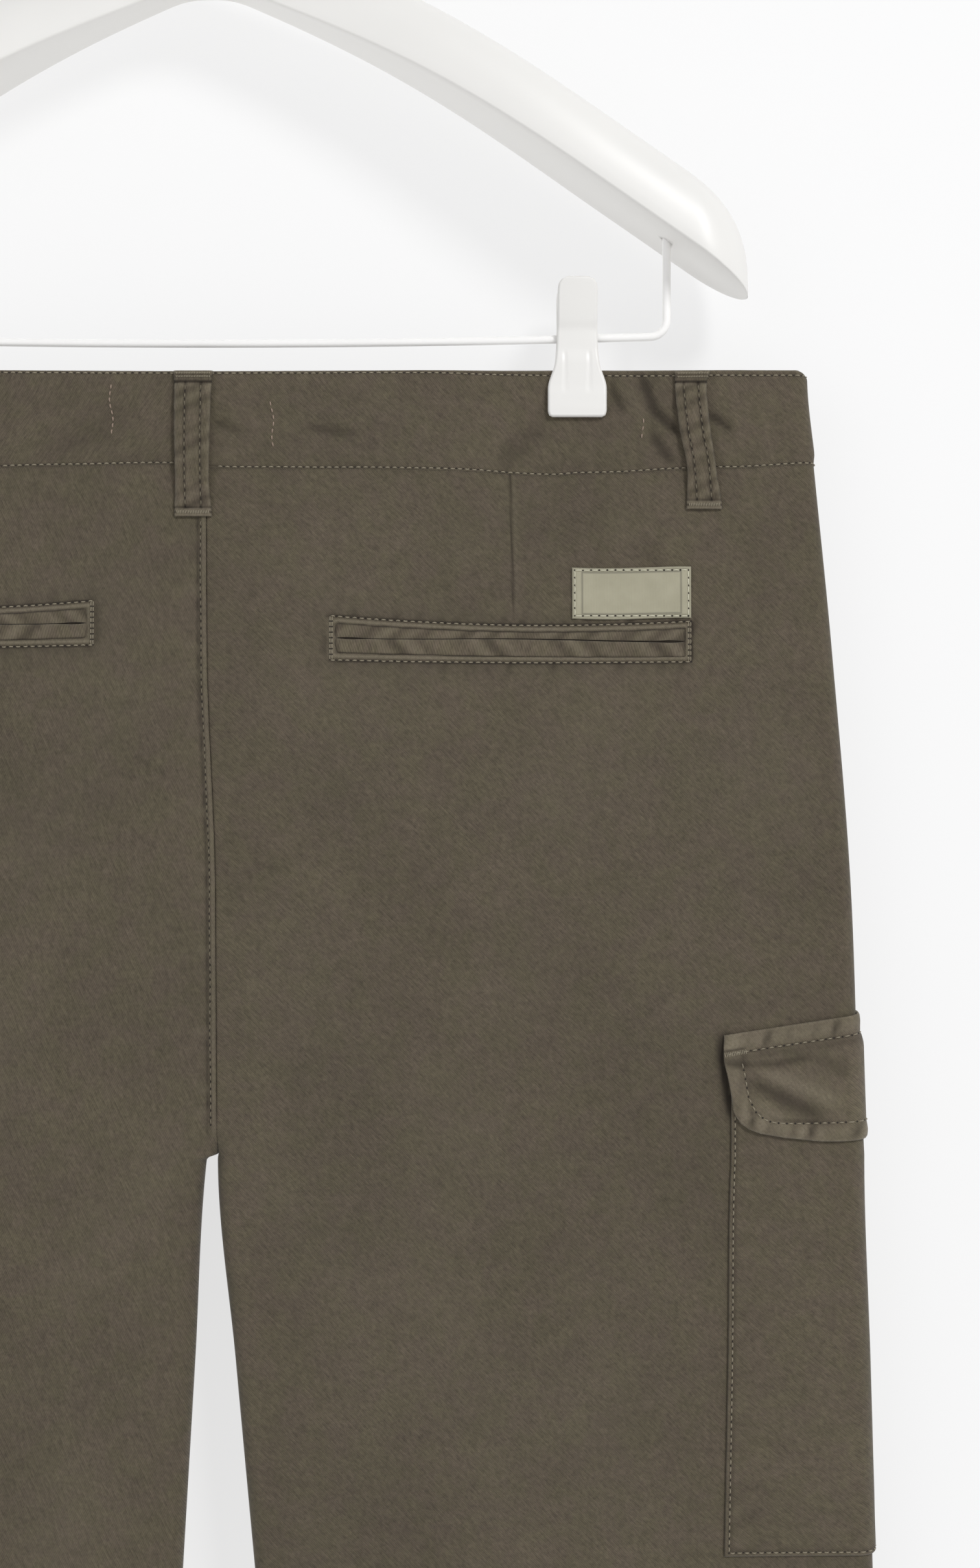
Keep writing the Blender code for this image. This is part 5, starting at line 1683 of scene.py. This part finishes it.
def wirePiece(name, points, radius, node):
    curve = bpy.data.curves.new(name, "CURVE")
    curve.dimensions = "3D"
    curve.bevel_depth = radius * mm
    curve.bevel_resolution = 6
    curve.use_fill_caps = True
    line = curve.splines.new("POLY")
    line.points.add(len(points) - 1)
    for spot, (x, y, z) in zip(line.points, points):
        spot.co = (x * mm, y * mm, z * mm, 1)
    made = linked(name, curve)
    mesh = bpy.data.meshes.new_from_object(made.evaluated_get(bpy.context.evaluated_depsgraph_get()))
    bpy.data.objects.remove(made)
    mesh.polygons.foreach_set("use_smooth", np.ones(len(mesh.polygons), bool))
    dressed(linked(name, mesh), materials["wire"], [node])


def makeBar():
    # it sags between two legs that go up into the shoulders
    bar, legX, bend = hanger["barDrop"], hanger["legX"], hanger["bend"]
    top = undersideDrop(legX) - hanger["socketDeep"] + 2.5
    half = [(legX, 0, waistZ / mm - top), (legX, 0, waistZ / mm - bar + bend + 2)]
    for angle in np.linspace(0, 90, 15):
        c, s = math.cos(math.radians(angle)), math.sin(math.radians(angle))
        half.append((legX - bend + bend * c, 0, waistZ / mm - bar + bend * (1 - s)))
    span = legX - bend
    for x in np.linspace(span, 0, 30)[1:]:
        half.append((x, 0, waistZ / mm - bar - hanger["barSag"] * (1 - (x / span) ** 2)))
    wirePiece("trouserBar", half + [(-x, y, z) for x, y, z in half[-2::-1]], hanger["wire"], "trouser_bar")


def makeHook():
    # a stem that sweeps aside into most of a circle, with a rounded tip
    ring, centre = hanger["hookInside"] + hanger["hookWire"], -hanger["hookInside"]
    points = []
    for angle in np.linspace(hanger["hookTip"], hanger["hookLeave"], 90):
        a = math.radians(angle)
        points.append(np.array([ring * math.cos(a), 0, centre + ring * math.sin(a)]))
    a, sweep = math.radians(hanger["hookLeave"]), hanger["sweep"]
    p0, p3 = points[-1], np.array([0, 0, centre - ring - hanger["stem"]])
    p1, p2 = p0 + sweep * np.array([math.sin(a), 0, -math.cos(a)]), p3 + np.array([0, 0, sweep])
    for t in np.linspace(0, 1, 26)[1:]:
        bent = p0 * (1 - t) ** 3 + p1 * 3 * t * (1 - t) ** 2
        points.append(bent + p2 * 3 * t * t * (1 - t) + p3 * t**3)
    socket = undersideDrop(0) - hanger["neckTall"] + hanger["socketDeep"]
    points.append(np.array([0, 0, waistZ / mm - socket + 2]))
    wirePiece("hangerHook", [tuple(p) for p in points], hanger["hookWire"], "hanger_hook")


makeShoulders()
makeBar()
makeHook()

clip = {
    "thickness": 2.6,
    "drop": [-36.0, -35.0, -32.5, -29.0, -20.0, -16.0, -10.0, -4.0, 6.0, 14.0, 16.0, 16.7],
    "half": [4.2, 6.2, 7.5, 7.7, 7.7, 7.8, 8.0, 8.6, 11.3, 11.3, 10.8, 9.6],
    "inner": [8.2, 8.0, 7.3, 6.3, 3.6, 2.0, 2.0, 2.6, 2.6, 2.6, 2.6, 2.6],
    "ribX": 4.7,
    "ribDrops": (-8.6, 6.3),
}


def makeClip(side, behind):
    # a jaw and its finger tab: a rounded plate with two shallow ribs
    word, where = words[side], ("Back" if behind else "Front")
    top, foot = clip["drop"][0], clip["drop"][-1]
    drops = graded(top, foot, 0.9, [(top, 2.5, 0.25), (foot, 1.5, 0.2), (-1, 6, 0.7)])
    us = np.sin(np.linspace(-math.pi / 2, math.pi / 2, 41))
    drop, u = np.meshgrid(drops, us, indexing="ij")
    half = smoothCurve(clip["drop"], clip["half"], drop)
    inner = smoothCurve(clip["drop"], clip["inner"], drop)
    x = u * half
    ribs = bump(np.abs(x) - clip["ribX"], 0.55)
    ribs = ribs * ease((drop - clip["ribDrops"][0]) / 1.2) * (1 - ease((drop - clip["ribDrops"][1]) / 1.2))
    edge = np.minimum(np.minimum(half - np.abs(x), drop - top), foot - drop)
    crowned = 0.9 * (1 - (x / half) ** 2) * (1 - ease((drop + 18) / 10))
    outer = inner + clip["thickness"] - 0.28 * ribs + 0.35 * crowned
    outer -= 0.9 * np.clip(1 - edge / 0.9, 0, 1) ** 2
    outer += 0.25 * ease((drop - 4) / 5) * (1 - ease((drop - 13) / 3))
    inside = inner + 0.5 * np.clip(1 - edge / 0.6, 0, 1) ** 2
    way = -1 if behind else 1
    front = np.stack([side * garment["clipX"] + x, way * outer, waistZ / mm - drop], axis=-1)
    back = np.stack([side * garment["clipX"] + x, way * inside, waistZ / mm - drop], axis=-1)
    rows, columns = drop.shape
    verts = np.concatenate([front.reshape(-1, 3), back.reshape(-1, 3)]) * mm
    outerFaces = gridFaces(rows, columns)
    innerFaces = outerFaces[:, ::-1] + rows * columns
    rim = np.concatenate([np.arange(columns), np.arange(2, rows + 1) * columns - 1,
                          np.arange(rows * columns - 2, (rows - 1) * columns - 1, -1),
                          np.arange(rows - 2, 0, -1) * columns])
    after, jump = np.roll(rim, -1), rows * columns
    sideFaces = np.stack([rim, rim + jump, after + jump, after], axis=1)
    faces = np.concatenate([outerFaces, innerFaces, sideFaces])
    piece = smoothPiece("clip" + word + where, verts.tolist(), (faces if behind else faces[:, ::-1]).tolist())
    dressed(piece, materials["plastic"], [f"clip_{word.lower()}_{where.lower()}"])


for side in (right, left):
    for behind in (True, False):
        makeClip(side, behind)
print("hanger and clips ready")


# Stage, light and camera

stage = {"wallY": 0.031, "floorZ": -1.03, "size": 5.0, "grey": 0.24, "glow": 0.69}
photo = {"longSide": 0.605, "at": (0.1085, waistZ - 0.1577), "distance": 0.850}


def stageSheet(name, corners):
    # a white sheet that glows a little, so that shadows on it stay faint
    mesh = bpy.data.meshes.new(name)
    mesh.from_pydata(corners, [], [(0, 1, 2, 3)])
    sheet = linked(name, mesh)
    material = newMaterial(name, {
        "Base Color": (stage["grey"],) * 3 + (1,), "Emission Color": (1, 1, 1, 1),
        "Emission Strength": stage["glow"], "Roughness": 0.95, "Specular IOR Level": 0.1})[0]
    sheet.data.materials.append(material)
    return sheet, material


def makeStage():
    half, wall, floor = stage["size"] / 2, stage["wallY"], stage["floorZ"]
    corners = [(-half, wall, floor), (half, wall, floor), (half, wall, half), (-half, wall, half)]
    sheet, material = stageSheet("paleWall", corners)
    tree = material.node_tree
    clear = tree.nodes.new("ShaderNodeBsdfTransparent")
    facing = tree.nodes.new("ShaderNodeNewGeometry")
    mixed = tree.nodes.new("ShaderNodeMixShader")
    tree.links.new(facing.outputs["Backfacing"], mixed.inputs[0])
    tree.links.new(tree.nodes["Principled BSDF"].outputs[0], mixed.inputs[1])
    tree.links.new(clear.outputs[0], mixed.inputs[2])
    tree.links.new(mixed.outputs[0], tree.nodes["Material Output"].inputs["Surface"])
    sheet.visible_shadow = False
    ground = [(-half, -half, floor), (half, -half, floor), (half, half, floor), (-half, half, floor)]
    stageSheet("paleFloor", ground)


light = {
    "aim": (0.05, 0, -0.42),
    "sky": (0.97, 0.98, 1.0, 1),
    "skyStrength": 0.52,
    "lamps": {  # place, size and power
        "keyLight": ((1.05, -1.65, 0.8), 0.6, 25),
        "fillLight": ((-1.3, -1.8, -0.1), 1.6, 5),
        "backLight": ((-0.6, 2.2, 0.7), 1.8, 24),
    },
}


def lightScene():
    world = bpy.data.worlds.new("studio")
    world.use_nodes = True
    sky = world.node_tree.nodes["Background"]
    sky.inputs[0].default_value = light["sky"]
    sky.inputs[1].default_value = light["skyStrength"]
    bpy.context.scene.world = world
    for name, (place, size, power) in light["lamps"].items():
        lamp = bpy.data.lights.new(name, "AREA")
        lamp.shape, lamp.size, lamp.energy = "DISK", size, power
        made = linked(name, lamp)
        made.location = place
        made.rotation_euler = (Vector(light["aim"]) - Vector(place)).to_track_quat("-Z", "Y").to_euler()
    bpy.context.scene.view_settings.view_transform = "Standard"
    bpy.context.scene.view_settings.look = "None"


def makeCamera():
    lens = bpy.data.cameras.new("camera")
    lens.sensor_width = 36
    lens.lens = 36 * photo["distance"] / photo["longSide"]
    lens.clip_start, lens.clip_end = 0.01, 50
    camera = linked("camera", lens)
    x, z = photo["at"]
    camera.location = (x, -photo["distance"], z)
    camera.rotation_euler = (math.radians(90), 0, 0)
    bpy.context.scene.camera = camera


makeStage()
lightScene()
makeCamera()
print("stage, light and camera ready")
